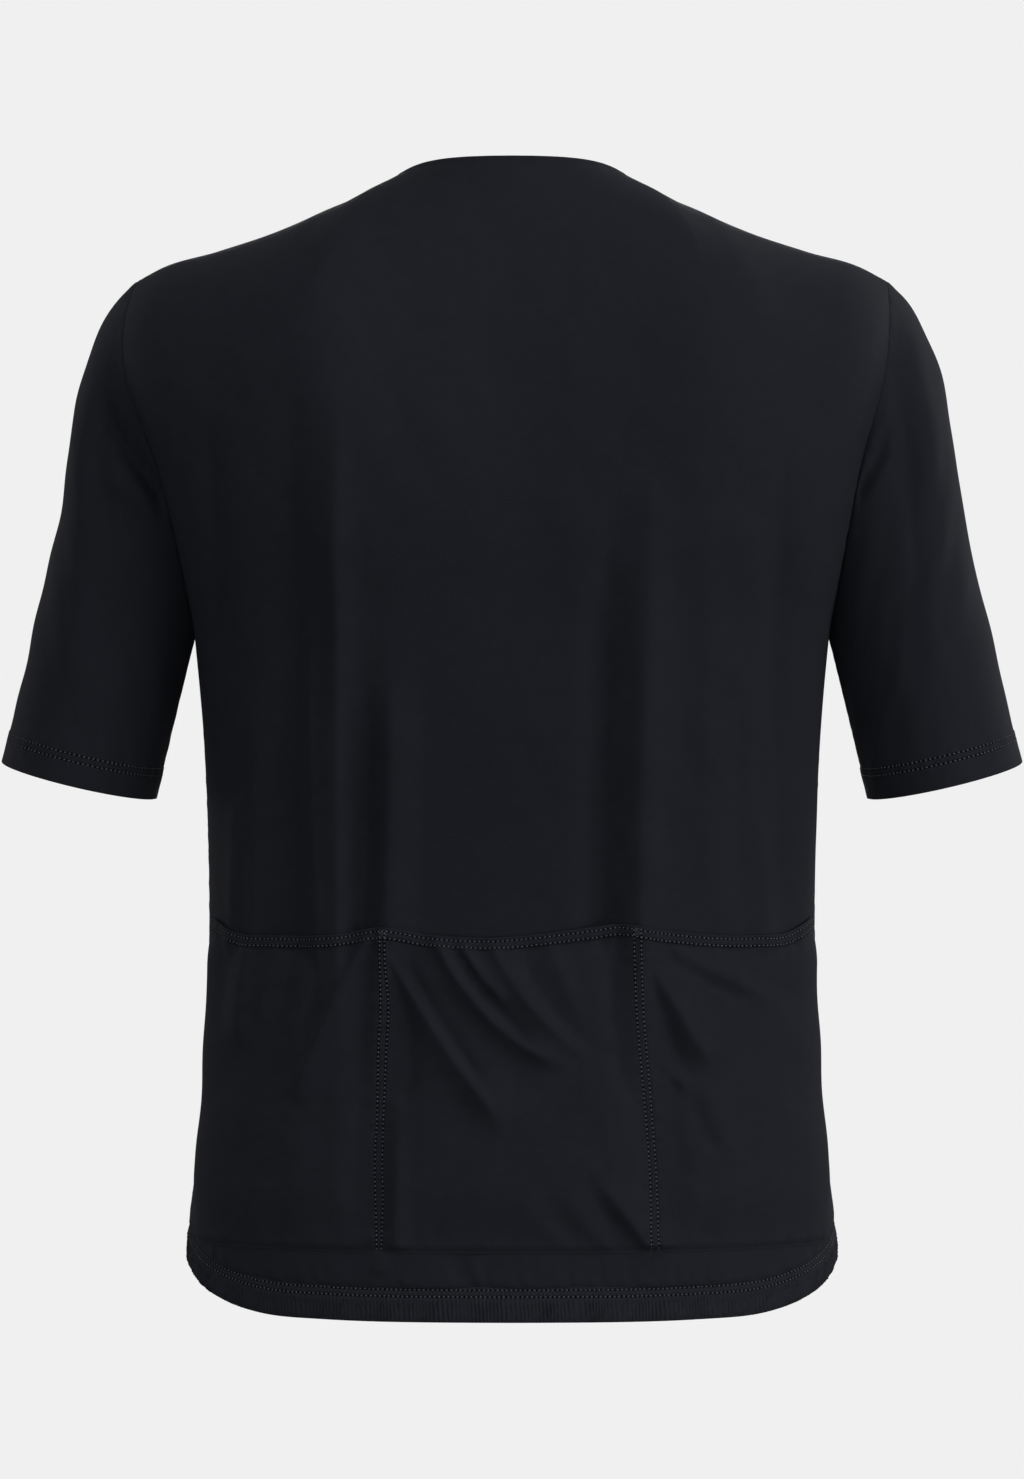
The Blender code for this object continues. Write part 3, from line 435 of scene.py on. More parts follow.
def body(turn, level):
    """The body's plain surface. Level is 0 at the hem seam, 1 at the underarm and 2 at neck and shoulders."""
    turn, level = np.broadcast_arrays(np.asarray(turn, float), np.asarray(level, float))
    start = band_top(turn)
    low = ring(turn, start + (UNDERARM_Z - start) * np.clip(level, 0, 1))
    high = yoke(turn, np.clip(level - 1, 0, 1))
    return np.where(level[..., None] <= 1, low, high)


def armhole(side, rise, back):
    """A point of the armhole seam on the back or the front half of its loop."""
    return body(side * (90 - SEAM_STEP if back else 90 + SEAM_STEP), 1 + np.asarray(rise, float))


def sleeve(side, around, along):
    """A sleeve's plain surface, from the armhole to the cuff."""
    around, along = np.broadcast_arrays(np.asarray(around, float), np.asarray(along, float))
    behind = around <= 180
    rise = np.where(behind, around, 360 - around) / 180
    start = np.where(behind[..., None], armhole(side, rise, True), armhole(side, rise, False))
    lean, fall = math.radians(SLEEVE_LEAN), math.radians(SHOULDER_FALL)
    down = np.array([side * math.sin(lean), 0, -math.cos(lean)])
    outwards = np.array([side * math.cos(lean), 0, math.sin(lean)])
    leave = np.array([side * math.cos(fall), 0, -math.sin(fall)])
    angle = np.radians(around)[..., None]
    centre = np.array(CUFF_CENTRE) * (side, 1, 1)
    end = centre - np.cos(angle) * CUFF_HALF_WIDTH * outwards + abs(np.sin(angle)) * CUFF_DROP * down
    end = end + np.sin(angle) * CUFF_HALF_DEPTH * np.array([0, 1, 0])
    reach = np.linalg.norm(end - start, axis=-1, keepdims=True)
    upper = ((1 - np.cos(angle)) / 2) ** OUTSIDE_SHARE
    first = unit(mix(down, leave, upper)) * reach * mix(*FIRST_PULL, upper)
    last = down * reach * mix(*LAST_PULL, upper)
    proud = curve(along, OUTER_ARM["along"], OUTER_ARM["proud"])[..., None] * upper
    return hermite(along[..., None], start, end, first, last) + proud * outwards


def fold_height(first, second, folds, crest=PLAIN_CREST, swells=FOLD_SWELLS, fades=FOLD_FADES):
    """The height of all folds at points given by two coordinates, in the order of the folds' tables."""
    total = np.zeros(np.shape(first))
    for start_1, start_2, end_1, end_2, bow, height, left, right in zip(*folds.values()):
        length = math.hypot(end_1 - start_1, end_2 - start_2)
        along = ((end_1 - start_1) / length, (end_2 - start_2) / length)
        share = ((first - start_1) * along[0] + (second - start_2) * along[1]) / length
        across = (second - start_2) * along[0] - (first - start_1) * along[1] - 4 * bow * share * (1 - share)
        away = np.abs(across / np.where(across > 0, left, right))
        total += height * ease(share, *swells) * until(share, *fades) * np.exp(-(away**crest))
    return total


def grid_normals(points, outwards_like):
    """Unit normals of a grid of points, facing the same way as a rough direction."""
    return turned(unit(np.cross(np.gradient(points, axis=1), np.gradient(points, axis=0))), outwards_like)


def from_axis(points):
    """The direction away from the body's upright axis, level."""
    return unit(points * (1, 1, 0))


def turned(normals, rough):
    """Normals turned round where they face away from a rough direction."""
    return normals * np.where(np.sum(normals * rough, axis=-1, keepdims=True) < 0, -1, 1)


def side_seam_normals(side, level, step=0.5, rise=0.01):
    """Normals on a side seam, from points a step of turn and a rise of level away."""
    across = body(side * (90 - step), level) - body(side * (90 + step), level)
    up = body(side * 90, np.minimum(level + rise, 1)) - body(side * 90, np.maximum(level - rise, 0))
    return turned(unit(np.cross(across, up)), np.array([side, 0, 0]))


def shoulder_normals(side, share, step=0.02):
    """Normals on a shoulder seam, level in depth, so that back and front meet there alike."""
    line = top_line(np.minimum(share + step, 1), True) - top_line(np.maximum(share - step, NECK_SHARE), True)
    return turned(unit(np.cross(line * (side, 1, 1), (0, 1, 0))), np.array([0, 0, 1]))


def armhole_steps(side, rises, back, step=0.01, inside=1.5):
    """Points on the armhole seam, steps from them onto the body, and steps along the seam."""
    here = armhole(side, rises, back)
    inwards = body(side * (90 - inside if back else 90 + inside), 1 + rises) - here
    upper, lower = np.minimum(rises + step, 1), np.maximum(rises - step, 0)
    return here, inwards, armhole(side, upper, back) - armhole(side, lower, back)


def armhole_normals(side, rises, back, down=0.03):
    """Normals on the armhole seam, halfway between body's and sleeve's, so that both walls end alike."""
    here, inwards, along = armhole_steps(side, rises, back)
    bodys = turned(unit(np.cross(inwards, along)), from_axis(here))
    bodys[0] = side_seam_normals(side, np.array(1.0))
    bodys[-1] = shoulder_normals(side, np.array(1.0))
    around = 180 * rises if back else 360 - 180 * rises
    down_sleeve = sleeve(side, around, down) - sleeve(side, around, 0.0)
    centre = (armhole(side, 0.5, True) + armhole(side, 0.5, False)) / 2
    sleeves = turned(unit(np.cross(down_sleeve, along)), here - centre)
    sleeves[0] = unit(np.array([-side * math.cos(math.radians(SLEEVE_LEAN)), 0, -UNDERARM_TUCK]))
    sleeves[-1, 1] = 0
    return unit(bodys + sleeves)


def turn_at(x, levels, side):
    """The turn at which the front's surface is at a given x, on each level."""
    low, high = np.full(len(levels), 140.0), np.full(len(levels), 180.0)
    for _ in range(HALVINGS):
        middle = (low + high) / 2
        inside = np.abs(body(middle, levels)[..., 0]) < x
        high = np.where(inside, middle, high)
        low = np.where(inside, low, middle)
    return side * (low + high) / 2


# ---- Small uneven forms ----

WAVE_LENGTHS, DENT_LENGTHS = (0.6, 1.8), (0.7, 1.7)  # shares of the pitch or size, for each wave


def wander(at, pitch, seed, waves=6):
    """An uneven wave along a line, mostly within -1 and 1."""
    draw = random.Random(seed)
    total = 0.0 * at
    for _ in range(waves):
        length = pitch * draw.uniform(*WAVE_LENGTHS)
        total = total + np.sin(math.tau * (at / length + draw.random()))
    return total / math.sqrt(waves)


def uneven(first, second, size, seed, stretch=1.0, waves=16):
    """Soft dents and swellings, mostly within -1 and 1, longer by the stretch in the second direction."""
    draw = random.Random(seed)
    total = np.zeros(np.shape(first))
    for _ in range(waves):
        way = draw.uniform(0, math.pi)
        length = size * draw.uniform(*DENT_LENGTHS)
        along = first * math.cos(way) + second * math.sin(way) / stretch
        total += np.sin(math.tau * (along / length + draw.random()))
    return total / math.sqrt(waves)


def dents(first, second, seed, rows):
    """Several sizes of dents and swellings: each row has a height, a size and a stretch."""
    total = 0.0
    for k, (height, size, stretch) in enumerate(rows):
        total = total + height * uneven(first, second, size, seed + k, stretch)
    return total


def fading(distance, reach):
    """1 on a line, and dying out on both sides of it."""
    return np.exp(-((distance / reach) ** 2))


def groove(distance, depth, half_width, place=0.0):
    return -depth * fading(distance - place, half_width)


def grooves(distance, rows, depth, half_width):
    return sum(groove(distance, depth, half_width, row) for row in rows)


def puckers(distance, along, seed, height, pitch, reach, place=0.0):
    """Small waves across a seam, which die out away from it."""
    return height * wander(along, pitch, seed) * fading(distance - place, reach)


# ---- Grids ----

DENSE = 1500  # places on a line that is only measured
END = math.inf  # the spot at a line's end
OUTLINE_Z, PROFILE_TURN = -450.0, 40.0  # where the body is measured round, and up


def graded(start, end, base, fine, spots, growth=0.35):
    """Places from start to end, a base step apart, and closer near the spots."""
    at = np.linspace(start, end, 4 * DENSE + 1)
    near = np.min([np.abs(at - spot) for spot in spots], axis=0)
    per_step = 1 / np.minimum(base, fine + growth * near)
    count = np.concatenate([[0], np.cumsum((per_step[1:] + per_step[:-1]) / 2 * np.diff(at))])
    return np.interp(np.linspace(0, count[-1], math.ceil(count[-1]) + 1), count, at)


def lengths(points, axis):
    """Distances along a grid's rows (axis 1) or columns (axis 0)."""
    steps = np.linalg.norm(np.diff(points, axis=axis), axis=-1)
    first = np.zeros_like(np.take(steps, [0], axis=axis))
    return np.concatenate([first, np.cumsum(steps, axis=axis)], axis=axis)


def line_lengths(points):
    return lengths(points[None], 1)[0]


def spread(places, points, base, fine, spots, growth=0.35):
    """Places at even steps along the line of their points, and closer near the spots, which are distances
    from the line's start or, below zero, from its end."""
    along = line_lengths(points)
    spots = [min(spot, along[-1]) if spot >= 0 else along[-1] + spot for spot in spots]
    return np.interp(graded(0, along[-1], base, fine, spots, growth), along, places)


def spread_turns(start, end, base, fine, spots):
    turns = np.linspace(start, end, DENSE)
    return spread(turns, ring(turns, OUTLINE_Z + 0 * turns), base, fine, spots)


def spread_levels(start, end, base, fine, spots):
    levels = np.linspace(start, end, DENSE)
    return spread(levels, body(PROFILE_TURN, levels), base, fine, spots)


def sample(grid, rows, columns):
    """Values of a grid at fractional rows and columns."""
    low_row = np.clip(np.floor(rows).astype(int), 0, grid.shape[0] - 2)
    low_column = np.clip(np.floor(columns).astype(int), 0, grid.shape[1] - 2)
    down, right = (rows - low_row)[..., None], (columns - low_column)[..., None]
    low = mix(grid[low_row, low_column], grid[low_row, low_column + 1], right)
    high = mix(grid[low_row + 1, low_column], grid[low_row + 1, low_column + 1], right)
    return mix(low, high, down)


def surface_normals(points, rough, closed=False):
    """Normals of a grid with all its folds. A closed grid goes round, from its last column to its first."""
    if not closed:
        return grid_normals(points, rough)
    wrapped = (np.concatenate([part[:, -1:], part, part[:, :1]], axis=1) for part in (points, rough))
    return grid_normals(*wrapped)[:, 1:-1]


# ---- Meshes ----

EDGE_REACH, EDGE_DROP = 0.55, 0.42  # of a cloth's thickness: how far in its round edges reach, and down
EDGE_ROWS = 4  # rows and columns of the fine grid that the inner one keeps along its edges


def new_object(name, mesh, finish, body_name="garment"):
    """An object of a finished mesh, riding on its body with its material slot."""
    mesh.materials.append(finish)
    made = bpy.data.objects.new(name, mesh)
    bpy.context.scene.collection.objects.link(made)
    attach(made, body_name)
    return made


def mesh_from(name, points, faces):
    """A smooth-shaded mesh from points in millimetres."""
    mesh = bpy.data.meshes.new(name)
    mesh.from_pydata((np.asarray(points) * MM).tolist(), [], faces)
    mesh.validate()
    mesh.shade_smooth()
    return mesh


def tube_faces(start, rings, sides, inwards=False):
    """Faces of a closed rod made of rings of points, which are numbered from a start."""
    faces = []
    last = start + (rings - 1) * sides
    for base in range(start, last, sides):
        for k in range(sides):
            a, b = base + k, base + (k + 1) % sides
            faces.append((a, a + sides, b + sides, b) if inwards else (a, b, b + sides, a + sides))
    first_end, last_end = list(range(start, start + sides)), list(range(last, last + sides))
    return faces + ([first_end, last_end[::-1]] if inwards else [first_end[::-1], last_end])


def sheet_faces(rows, columns, closed, start=0, flip=False):
    """Faces of a grid of points, which are numbered from a start."""
    faces = []
    for low in range(start, start + (rows - 1) * columns, columns):
        for c in range(columns if closed else columns - 1):
            first, second = low + c, low + (c + 1) % columns
            if flip:
                first, second = second, first
            faces.append((first, second, second + columns, first + columns))
    return faces


def picks(count, step):
    """Every few numbers up to a count, and each one near its ends."""
    ends = set(range(EDGE_ROWS)) | set(range(count - EDGE_ROWS, count))
    return sorted(ends | set(range(0, count, step)))


def shell_faces(rows, columns, closed, inner_rows, inner_columns):
    """Faces of a closed shell: a fine outer grid, and an inner one with only some of its rows and columns."""
    offset, width = rows * columns, len(inner_columns)
    top, inner_top = offset - columns, offset + (len(inner_rows) - 1) * width
    faces = sheet_faces(rows, columns, closed)
    faces += sheet_faces(len(inner_rows), width, closed, offset, flip=True)
    for c in range(width if closed else width - 1):
        d = (c + 1) % width
        start, stop = inner_columns[c], inner_columns[d]
        stop += columns if stop <= start else 0
        between = [k % columns for k in range(start, stop + 1)]
        faces.append([offset + c, offset + d] + between[::-1])
        faces.append([inner_top + d, inner_top + c] + [top + k for k in between])
    if closed:
        return faces
    for r, (start, stop) in enumerate(zip(inner_rows, inner_rows[1:])):
        low, high = offset + r * width, offset + (r + 1) * width
        between = [k * columns for k in range(start, stop + 1)]
        faces.append([high, low] + between)
        faces.append([low + width - 1, high + width - 1] + [k + columns - 1 for k in between[::-1]])
    return faces


def add_cloth(name, outer, normals, thickness, finish, closed=False, step=2):
    """A cloth shell with round edges inside its outer points, with the cloth's own coordinates as an
    attribute. Returns the object and its surface, for what is sewn on it."""
    up, across = lengths(outer, 0), lengths(outer, 1)
    edge = np.minimum(up, up[-1] - up)
    if not closed:
        edge = np.minimum(edge, np.minimum(across, across[:, -1:] - across))
    thickness = np.broadcast_to(thickness, outer.shape[:2])
    near = 1 - np.clip(edge / (EDGE_REACH * thickness), 0, 1)
    drop = EDGE_DROP * thickness * (1 - np.sqrt(1 - near**2))
    outer = outer - normals * drop[..., None]
    inner = outer - normals * (thickness - 2 * drop)[..., None]
    rows, columns = outer.shape[:2]
    inner_rows = picks(rows, step)
    inner_columns = list(range(0, columns, step)) if closed else picks(columns, step)

    def both(fine, coarse):
        coarse = coarse[np.ix_(inner_rows, inner_columns)]
        return np.concatenate([fine.reshape(-1, 3), coarse.reshape(-1, 3)])

    mesh = mesh_from(name, both(outer, inner), shell_faces(rows, columns, closed, inner_rows, inner_columns))
    cloth = np.stack([across - across[:, -1:] / 2, up, 0 * up], axis=-1)
    attribute = mesh.attributes.new("cloth", "FLOAT_VECTOR", "POINT")
    attribute.data.foreach_set("vector", (both(cloth, cloth) * MM).astype(np.float32).ravel())
    normals = surface_normals(outer, normals, closed)
    surface = {"points": outer, "normals": normals, "up": up, "across": across}
    return new_object(name, mesh, finish), surface


# ---- Sewing ----

STITCH_RINGS = table(
    "along size lift",
    (-1.0, 0.35, -0.9),
    (-0.5, 0.95, 0.25),
    (0.5, 0.95, 0.25),
    (1.0, 0.35, -0.9),
)
STITCH_SIDES = 5
STITCH_UNEVEN = 0.06  # of the pitch
THREAD = 0.30  # radius
HOLE_SHADE_RADIUS, HOLE_SHADE_FLAT, HOLE_SHADE_SUNK = 0.88, 0.27, 0.17  # a needle hole's painted shade: a dark mark, flatter than it is wide
STITCH_SHARE, HOLE_SHADE_SHARE = 0.42, 0.58  # of the pitch


def stitch_run(points, normals, pitch, share, seed, start=0.0):
    """Places, directions and normals of the stitches along one line, with half their length."""
    along = line_lengths(points)
    count = int((along[-1] - start) / pitch)
    draw = random.Random(seed)
    shifts = np.array([draw.uniform(-STITCH_UNEVEN, STITCH_UNEVEN) * pitch for _ in range(count)])
    at = start + (np.arange(count) + 0.5) * pitch + shifts
    half = pitch * share / 2

    def on_line(places, values):
        return np.stack([np.interp(places, along, values[:, k]) for k in range(3)], axis=-1)

    way = unit(on_line(at + half, points) - on_line(at - half, points))
    return on_line(at, points), way, unit(on_line(at, normals)), np.full(count, half)


def add_stitches(name, runs, finish, radius=THREAD, flat=1.0):
    """Thread laid over the cloth: one short rod with both ends drawn into the cloth for each stitch."""
    centres, ways, normals, halves = (np.concatenate(part) for part in zip(*runs))
    sides = np.cross(ways, normals)
    points, faces = [], []
    for along, size, lift in zip(*STITCH_RINGS.values()):
        middle = centres + ways * (along * halves)[:, None] + normals * (lift * radius)
        for angle in math.tau * np.arange(STITCH_SIDES) / STITCH_SIDES:
            out = sides * math.cos(angle) + normals * (flat * math.sin(angle))
            points.append(middle + radius * size * out)
    for k in range(len(centres)):
        faces += tube_faces(k * len(points), len(STITCH_RINGS["along"]), STITCH_SIDES)
    new_object(name, mesh_from(name, np.stack(points, axis=1).reshape(-1, 3), faces), finish)


def add_sewing(name, lines, pitch, seed, threads, start=1.5):
    """Rows of stitches, with dark marks between them where the needle drew the thread in: painted shade of the
    needle holes.
    """
    seen, pit_shades = [], []
    for k, (points, normals) in enumerate(lines):
        seen.append(stitch_run(points, normals, pitch, STITCH_SHARE, seed + k, start))
        sunk = points - normals * HOLE_SHADE_SUNK
        pit_shades.append(stitch_run(sunk, normals, pitch, HOLE_SHADE_SHARE, seed + k, start + pitch / 2))
    add_stitches(name, seen, threads["light"])
    # the dark marks in the needle holes are painted shade
    add_stitches(name + "_pits", pit_shades, threads["dark"], radius=HOLE_SHADE_RADIUS, flat=HOLE_SHADE_FLAT)


def edge_line(surface, distance, way="up"):
    """A line over a surface at a distance from its top edge, or from its last column with the way across."""
    points, normals, along = surface["points"], surface["normals"], surface[way]
    if way == "across":
        points, normals, along = (np.swapaxes(part, 0, 1) for part in (points, normals, along))
    columns = np.arange(along.shape[1])
    rows = np.array([np.interp(along[-1, c] - distance, along[:, c], np.arange(len(along))) for c in columns])
    return sample(points, rows, columns), unit(sample(normals, rows, columns))


def sew_rows(name, surface, rows, pitch, seed, threads, closed=False):
    """Rows of stitches at distances from a surface's top edge."""
    lines = [edge_line(surface, row) for row in rows]
    if closed:
        lines = [tuple(np.concatenate([part, part[:1]]) for part in line) for line in lines]
    add_sewing(name, lines, pitch, seed, threads)


# ---- Zip ----

TAPE_EDGE, TAPE_UNDER = 9.0, 0.6  # where a front's edge lies on the tape, and how far the tape goes under it
CHAIN_HALF_WIDTH = 2.7
SOLID_GAP = 0.3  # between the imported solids
FRONT_RADIUS = 180.0  # of the front's curve to each side of the zip
CHAIN_SETBACK, TAPE_FOOT, BOX_HEIGHT = 4.0, 2.0, 11.0
ZIP_STITCH = 2.3  # from a front panel's edge
TAPE_THICK, TAPE_SUNK = 0.7, 0.35
TAPE_RIB, TAPE_RIB_PROUD, TAPE_PLAIN = 1.05, 0.12, 0.4  # pitch and height of its ribs, and its plain edge
TAPE_COLUMNS, TAPE_STEP = 27, 2.2
BASE_COLUMNS, BASE_STEP = 7, 4.0
BASE_WIDER, BASE_HIGHER, BASE_SUNK = 0.1, 1.5, 0.2  # how the strip under the coil differs from its solid
TOOTH_PITCH = 1.3
TOOTH_SIDES = 6
TOOTH = table(
    "across size out up",
    (2.35, 0.22, 0.05, -0.10),
    (1.95, 0.32, 0.30, -0.06),
    (1.20, 0.34, 0.46, 0.00),
    (0.30, 0.36, 0.50, 0.05),
    (-0.25, 0.44, 0.48, 0.06),
    (-0.62, 0.34, 0.40, 0.06),
    (-0.78, 0.12, 0.36, 0.06),
)
COIL_STARTS = 0.8  # above the chain's lower end
COIL_SEWING = 1.72  # from the middle, the rows of thread that hold the coil
COIL_THREAD, COIL_THREAD_PROUD = 0.17, 0.62  # its radius, and how high it lies
COIL_THREAD_STEP, COIL_THREAD_SHARE = 1.3, 0.92  # of the line that it follows, and of the pitch
HARDWARE = (  # CAD node, piece, width and segments of the roundings, body
    ("zip_box", "zip_end_box", 0.6, 3, "garment"),
    ("zip_slider", "zip_slider_body", 0.18, 2, "garment"),
    ("pull_tab", "zip_pull_tab", 0.22, 3, "pull_tab"),
)
# Faces that are one flat face, edges that are rounded, and edges that stay sharp, by the angle between faces.
FLAT_ANGLE, EDGE_ANGLE, SHARP_ANGLE = (math.radians(degrees) for degrees in (1, 28, 35))


def centre_line(low, high, rows):
    """The front's middle between two heights: points, their outward normals, and directions up the zip."""
    band = ring(np.full(2, 180.0), np.array([hem_z(180.0), band_top(180.0) - 1]))
    whole = np.concatenate([band, body(180.0, np.linspace(0, 2, 81))])
    z = np.linspace(low, high, rows + 1)
    points = np.stack([0 * z, curve(z, whole[:, 2], whole[:, 1]), z], axis=1)
    line = unit(np.gradient(points, axis=0))
    return points, turned(np.cross(line, (1, 0, 0)), np.array([0, -1, 0])), line


def strip_points(places, heights, step):
    """A grid over the front's middle between two heights, with its normals."""
    points, normals, _ = centre_line(*heights, math.ceil((heights[1] - heights[0]) / step))
    places = np.asarray(places)[:, None]
    fall = places**2 / (2 * FRONT_RADIUS)
    grid = points[:, None, :] + places * np.array([1, 0, 0]) - normals[:, None, :] * fall
    return grid, np.broadcast_to(normals[:, None, :], grid.shape)


def zip_heights():
    """The lower end of the tapes, the top of the box, and the upper end of the coil."""
    foot = float(hem_z(180.0)) + TAPE_FOOT
    return foot, foot + BOX_HEIGHT, NECK_FRONT_Z - CHAIN_SETBACK


def add_tape(name, side, finish):
    """One side's woven tape, with fine ribs along it."""
    near, far = CHAIN_HALF_WIDTH + SOLID_GAP, TAPE_EDGE + TAPE_UNDER
    places = side * np.linspace(near, far, TAPE_COLUMNS)[::side]
    points, normals = strip_points(places, (zip_heights()[0], NECK_FRONT_Z), TAPE_STEP)
    rib = TAPE_RIB_PROUD * np.cos(math.tau * (np.abs(places) - near) / TAPE_RIB)
    rib = rib * ease(np.abs(places), near, near + TAPE_PLAIN) - TAPE_SUNK
    outer = points + normals * rib[:, None]
    return add_cloth(name, outer, normals, TAPE_THICK, finish, step=8)[0]


def add_coil_base(low, top, finish):
    """The narrow strip under the coil."""
    half = CHAIN_HALF_WIDTH + BASE_WIDER
    places = np.linspace(-half, half, BASE_COLUMNS)
    points, normals = strip_points(places, (low, top + BASE_HIGHER), BASE_STEP)
    outer = points - normals * BASE_SUNK
    return add_cloth("zip_coil_base", outer, normals, TAPE_THICK, finish, step=3)[0]


def add_coil(low, top, finish):
    """The two rows of interlocked turns of the closed coil."""
    count = int((top - low - 1) / TOOTH_PITCH)
    start = low + COIL_STARTS
    centres, outs, ups = centre_line(start, start + count * TOOTH_PITCH, 2 * count)
    points, faces = [], []
    angles = math.tau * np.arange(TOOTH_SIDES) / TOOTH_SIDES
    for side, first in ((1, 0), (-1, 1)):
        for at, out, up in zip(centres[first:-1:2], outs[first::2], ups[first::2]):
            faces += tube_faces(len(points), len(TOOTH["size"]), TOOTH_SIDES, inwards=True)
            for across, size, lift, rise in zip(*TOOTH.values()):
                middle = at + side * across * np.array([1, 0, 0]) + out * lift + up * rise
                points += [middle + size * (out * math.cos(a) + side * up * math.sin(a)) for a in angles]
    return new_object("zip_coil", mesh_from("zip_coil", points, faces), finish)


def add_chain(coil_finish, tape_finish, thread_finish):
    """The closed coil on its base, with the thread that holds it."""
    _, box_top, top = zip_heights()
    low = box_top + SOLID_GAP
    base = add_coil_base(low, top, tape_finish)
    coil = add_coil(low, top, coil_finish)
    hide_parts("zip_chain")
    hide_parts("zip_chain")
    runs = []
    for side, seed in ((1, 70), (-1, 71)):
        strip = strip_points([side * COIL_SEWING], (low, top), COIL_THREAD_STEP)
        points, normals = (part[:, 0] for part in strip)
        line = points + normals * COIL_THREAD_PROUD
        runs.append(stitch_run(line, normals, TOOTH_PITCH, COIL_THREAD_SHARE, seed))
    add_stitches("zip_coil_thread", runs, thread_finish, radius=COIL_THREAD)
    return base


def ordered(shape):
    """A shape's points and faces in an order by place, because rounding leaves them in another one each run."""
    verts = sorted(shape.verts, key=lambda vert: tuple(round(value, 7) for value in vert.co))
    rank = {vert: at for at, vert in enumerate(verts)}
    faces = [[rank[vert] for vert in face.verts] for face in shape.faces]
    starts = [face.index(min(face)) for face in faces]
    return [vert.co / MM for vert in verts], sorted(f[start:] + f[:start] for f, start in zip(faces, starts))


def softened(node, name, width, segments, body_name, finish):
    """A copy of a hard solid with its edges rounded."""
    shape = bmesh.new()
    shape.from_mesh(bpy.data.objects[node].data)
    bmesh.ops.remove_doubles(shape, verts=shape.verts, dist=1e-6)
    bmesh.ops.dissolve_limit(shape, angle_limit=FLAT_ANGLE, verts=shape.verts, edges=shape.edges)
    edges = [e for e in shape.edges if len(e.link_faces) == 2 and e.calc_face_angle(0) > EDGE_ANGLE]
    rounding = {"segments": segments, "affect": "EDGES", "profile": 0.7, "clamp_overlap": True}
    bmesh.ops.bevel(shape, geom=edges, offset=width * MM, **rounding)
    bmesh.ops.triangulate(shape, faces=[f for f in shape.faces if len(f.verts) > 4])
    mesh = mesh_from(name, *ordered(shape))
    shape.free()
    mesh.set_sharp_from_angle(angle=SHARP_ANGLE)
    made = new_object(name, mesh, finish, body_name)
    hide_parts(node)


# ---- Body panels ----

SEAM_DEPTH, SEAM_WIDTH = 0.55, 1.5
SEAM_LAP = 0.35  # how far each edge reaches past its seam line, in the groove, so that no light gets through
SEAM_BLEND = 11.0  # how far from a seam the shared normals fade into a panel's own
SEAM_PUCKER, BOTTOM_PUCKER = 0.22, 0.3  # height of the puckers beside a seam, and at the hem band's,
SEAM_PUCKERS = (11.0, 6.0, 2.0)  # with their pitch, their reach and where they are highest
ALLOWANCE = 6.5  # the seam allowance under the cloth, which shows as a low step
ALLOWANCE_PROUD, ALLOWANCE_STARTS, ALLOWANCE_ENDS = 0.28, (0.6, 1.8), (ALLOWANCE - 1, ALLOWANCE + 1)
NECK_HEM, NECK_HEM_PROUD, NECK_HEM_THICKER = 4.2, 0.35, 0.5
NECK_CORNER = 0.04  # of a half width, where the neckline's edge becomes the shoulder seam's
NECK_GROOVE = (0.22, 0.9, NECK_HEM)  # depth, half width and place
NECK_PUCKERS = (0.1, 8, 3, NECK_HEM)  # height, pitch, reach and place
HEM_STEP = (-0.6, 0.5)  # how sharply a turned hem's step ends
HEM_WAVES, HEM_WIDE_WAVES = (0.2, 7.0, 6.0), (0.22, 15.0, 16.0)  # height, pitch and reach
BACK_DENTS = ((0.55, 62, 2.2), (0.22, 26, 1.8))  # height, size and stretch
FRONT_DENTS = ((0.6, 58, 2.0), (0.25, 25, 1.6))
LIFT_REACH = 13.0  # how far from the armhole seam body and sleeve are rounded into each other,
LIFT_STARTS = (0.36, 0.6)  # and where up the seam that begins
ARMHOLE_DEPTHS = (0.5, 0.10)  # of the seam's groove, at its foot and at the shoulder,
ARMHOLE_CHANGE = (0.25, 0.6)  # and where up the seam the one becomes the other
EASE_REACH, EASE_ROUNDS, EASE_UNTIL = 26.0, 60, (0.9, 0.99)  # of the smoothing at the underarm's height
BACK_GRID, FRONT_GRID = (2.05, 0.25), (2.25, 0.25)  # steps of columns, at most and beside a side seam,
FRONT_EDGE_GRID = (2.25, 0.3)  # at most and beside the zip,
BACK_ROWS, FRONT_ROWS = (2.45, 0.25), (2.5, 0.3)  # and of rows, at most and beside a seam
FRONT_EDGE_HEM, FRONT_EDGE_PROUD, FRONT_EDGE_STEP = 7.0, 0.35, (-1, 0.6)  # its turned edge beside the zip
ZIP_GROOVE, ZIP_PUCKERS = (0.3, 1.0, ZIP_STITCH), (0.16, 7, 4, ZIP_STITCH)
ZIP_CALM, ZIP_HEM_CALM = (0, 24), (4, 12)  # how far from the zip the folds, and the hem's waves, begin


def seam(distance, along, seed, proud=0.0, pucker=SEAM_PUCKER, depth=SEAM_DEPTH):
    """What a seam does to the cloth beside it."""
    step = proud * ease(distance, *ALLOWANCE_STARTS) * until(distance, *ALLOWANCE_ENDS)
    waves = puckers(distance, along, seed, pucker, *SEAM_PUCKERS) * ease(distance, 0, SEAM_PUCKERS[-1])
    return groove(distance, depth, SEAM_WIDTH) + step + waves


def hem_step(distance, edge, step=HEM_STEP):
    """1 on a turned hem and 0 beyond its edge."""
    return until(distance, edge + step[0], edge + step[1])


def neck_hem(distance, along, seed):
    """The neckline's turned edge: a low step, and a line where it is sewn down."""
    waves = puckers(distance, along, seed, *NECK_PUCKERS)
    return NECK_HEM_PROUD * hem_step(distance, NECK_HEM) + groove(distance, *NECK_GROOVE) + waves


def hem_puckers(up, along, seed):
    """The body's cloth bulges in small upright waves where it is sewn to the elastic."""
    height, pitch, reach = HEM_WAVES
    near = height * wander(along, pitch, seed, waves=9) * fading(up, reach)
    return (near + puckers(up, along, seed + 1, *HEM_WIDE_WAVES)) * ease(up, 0, 3)


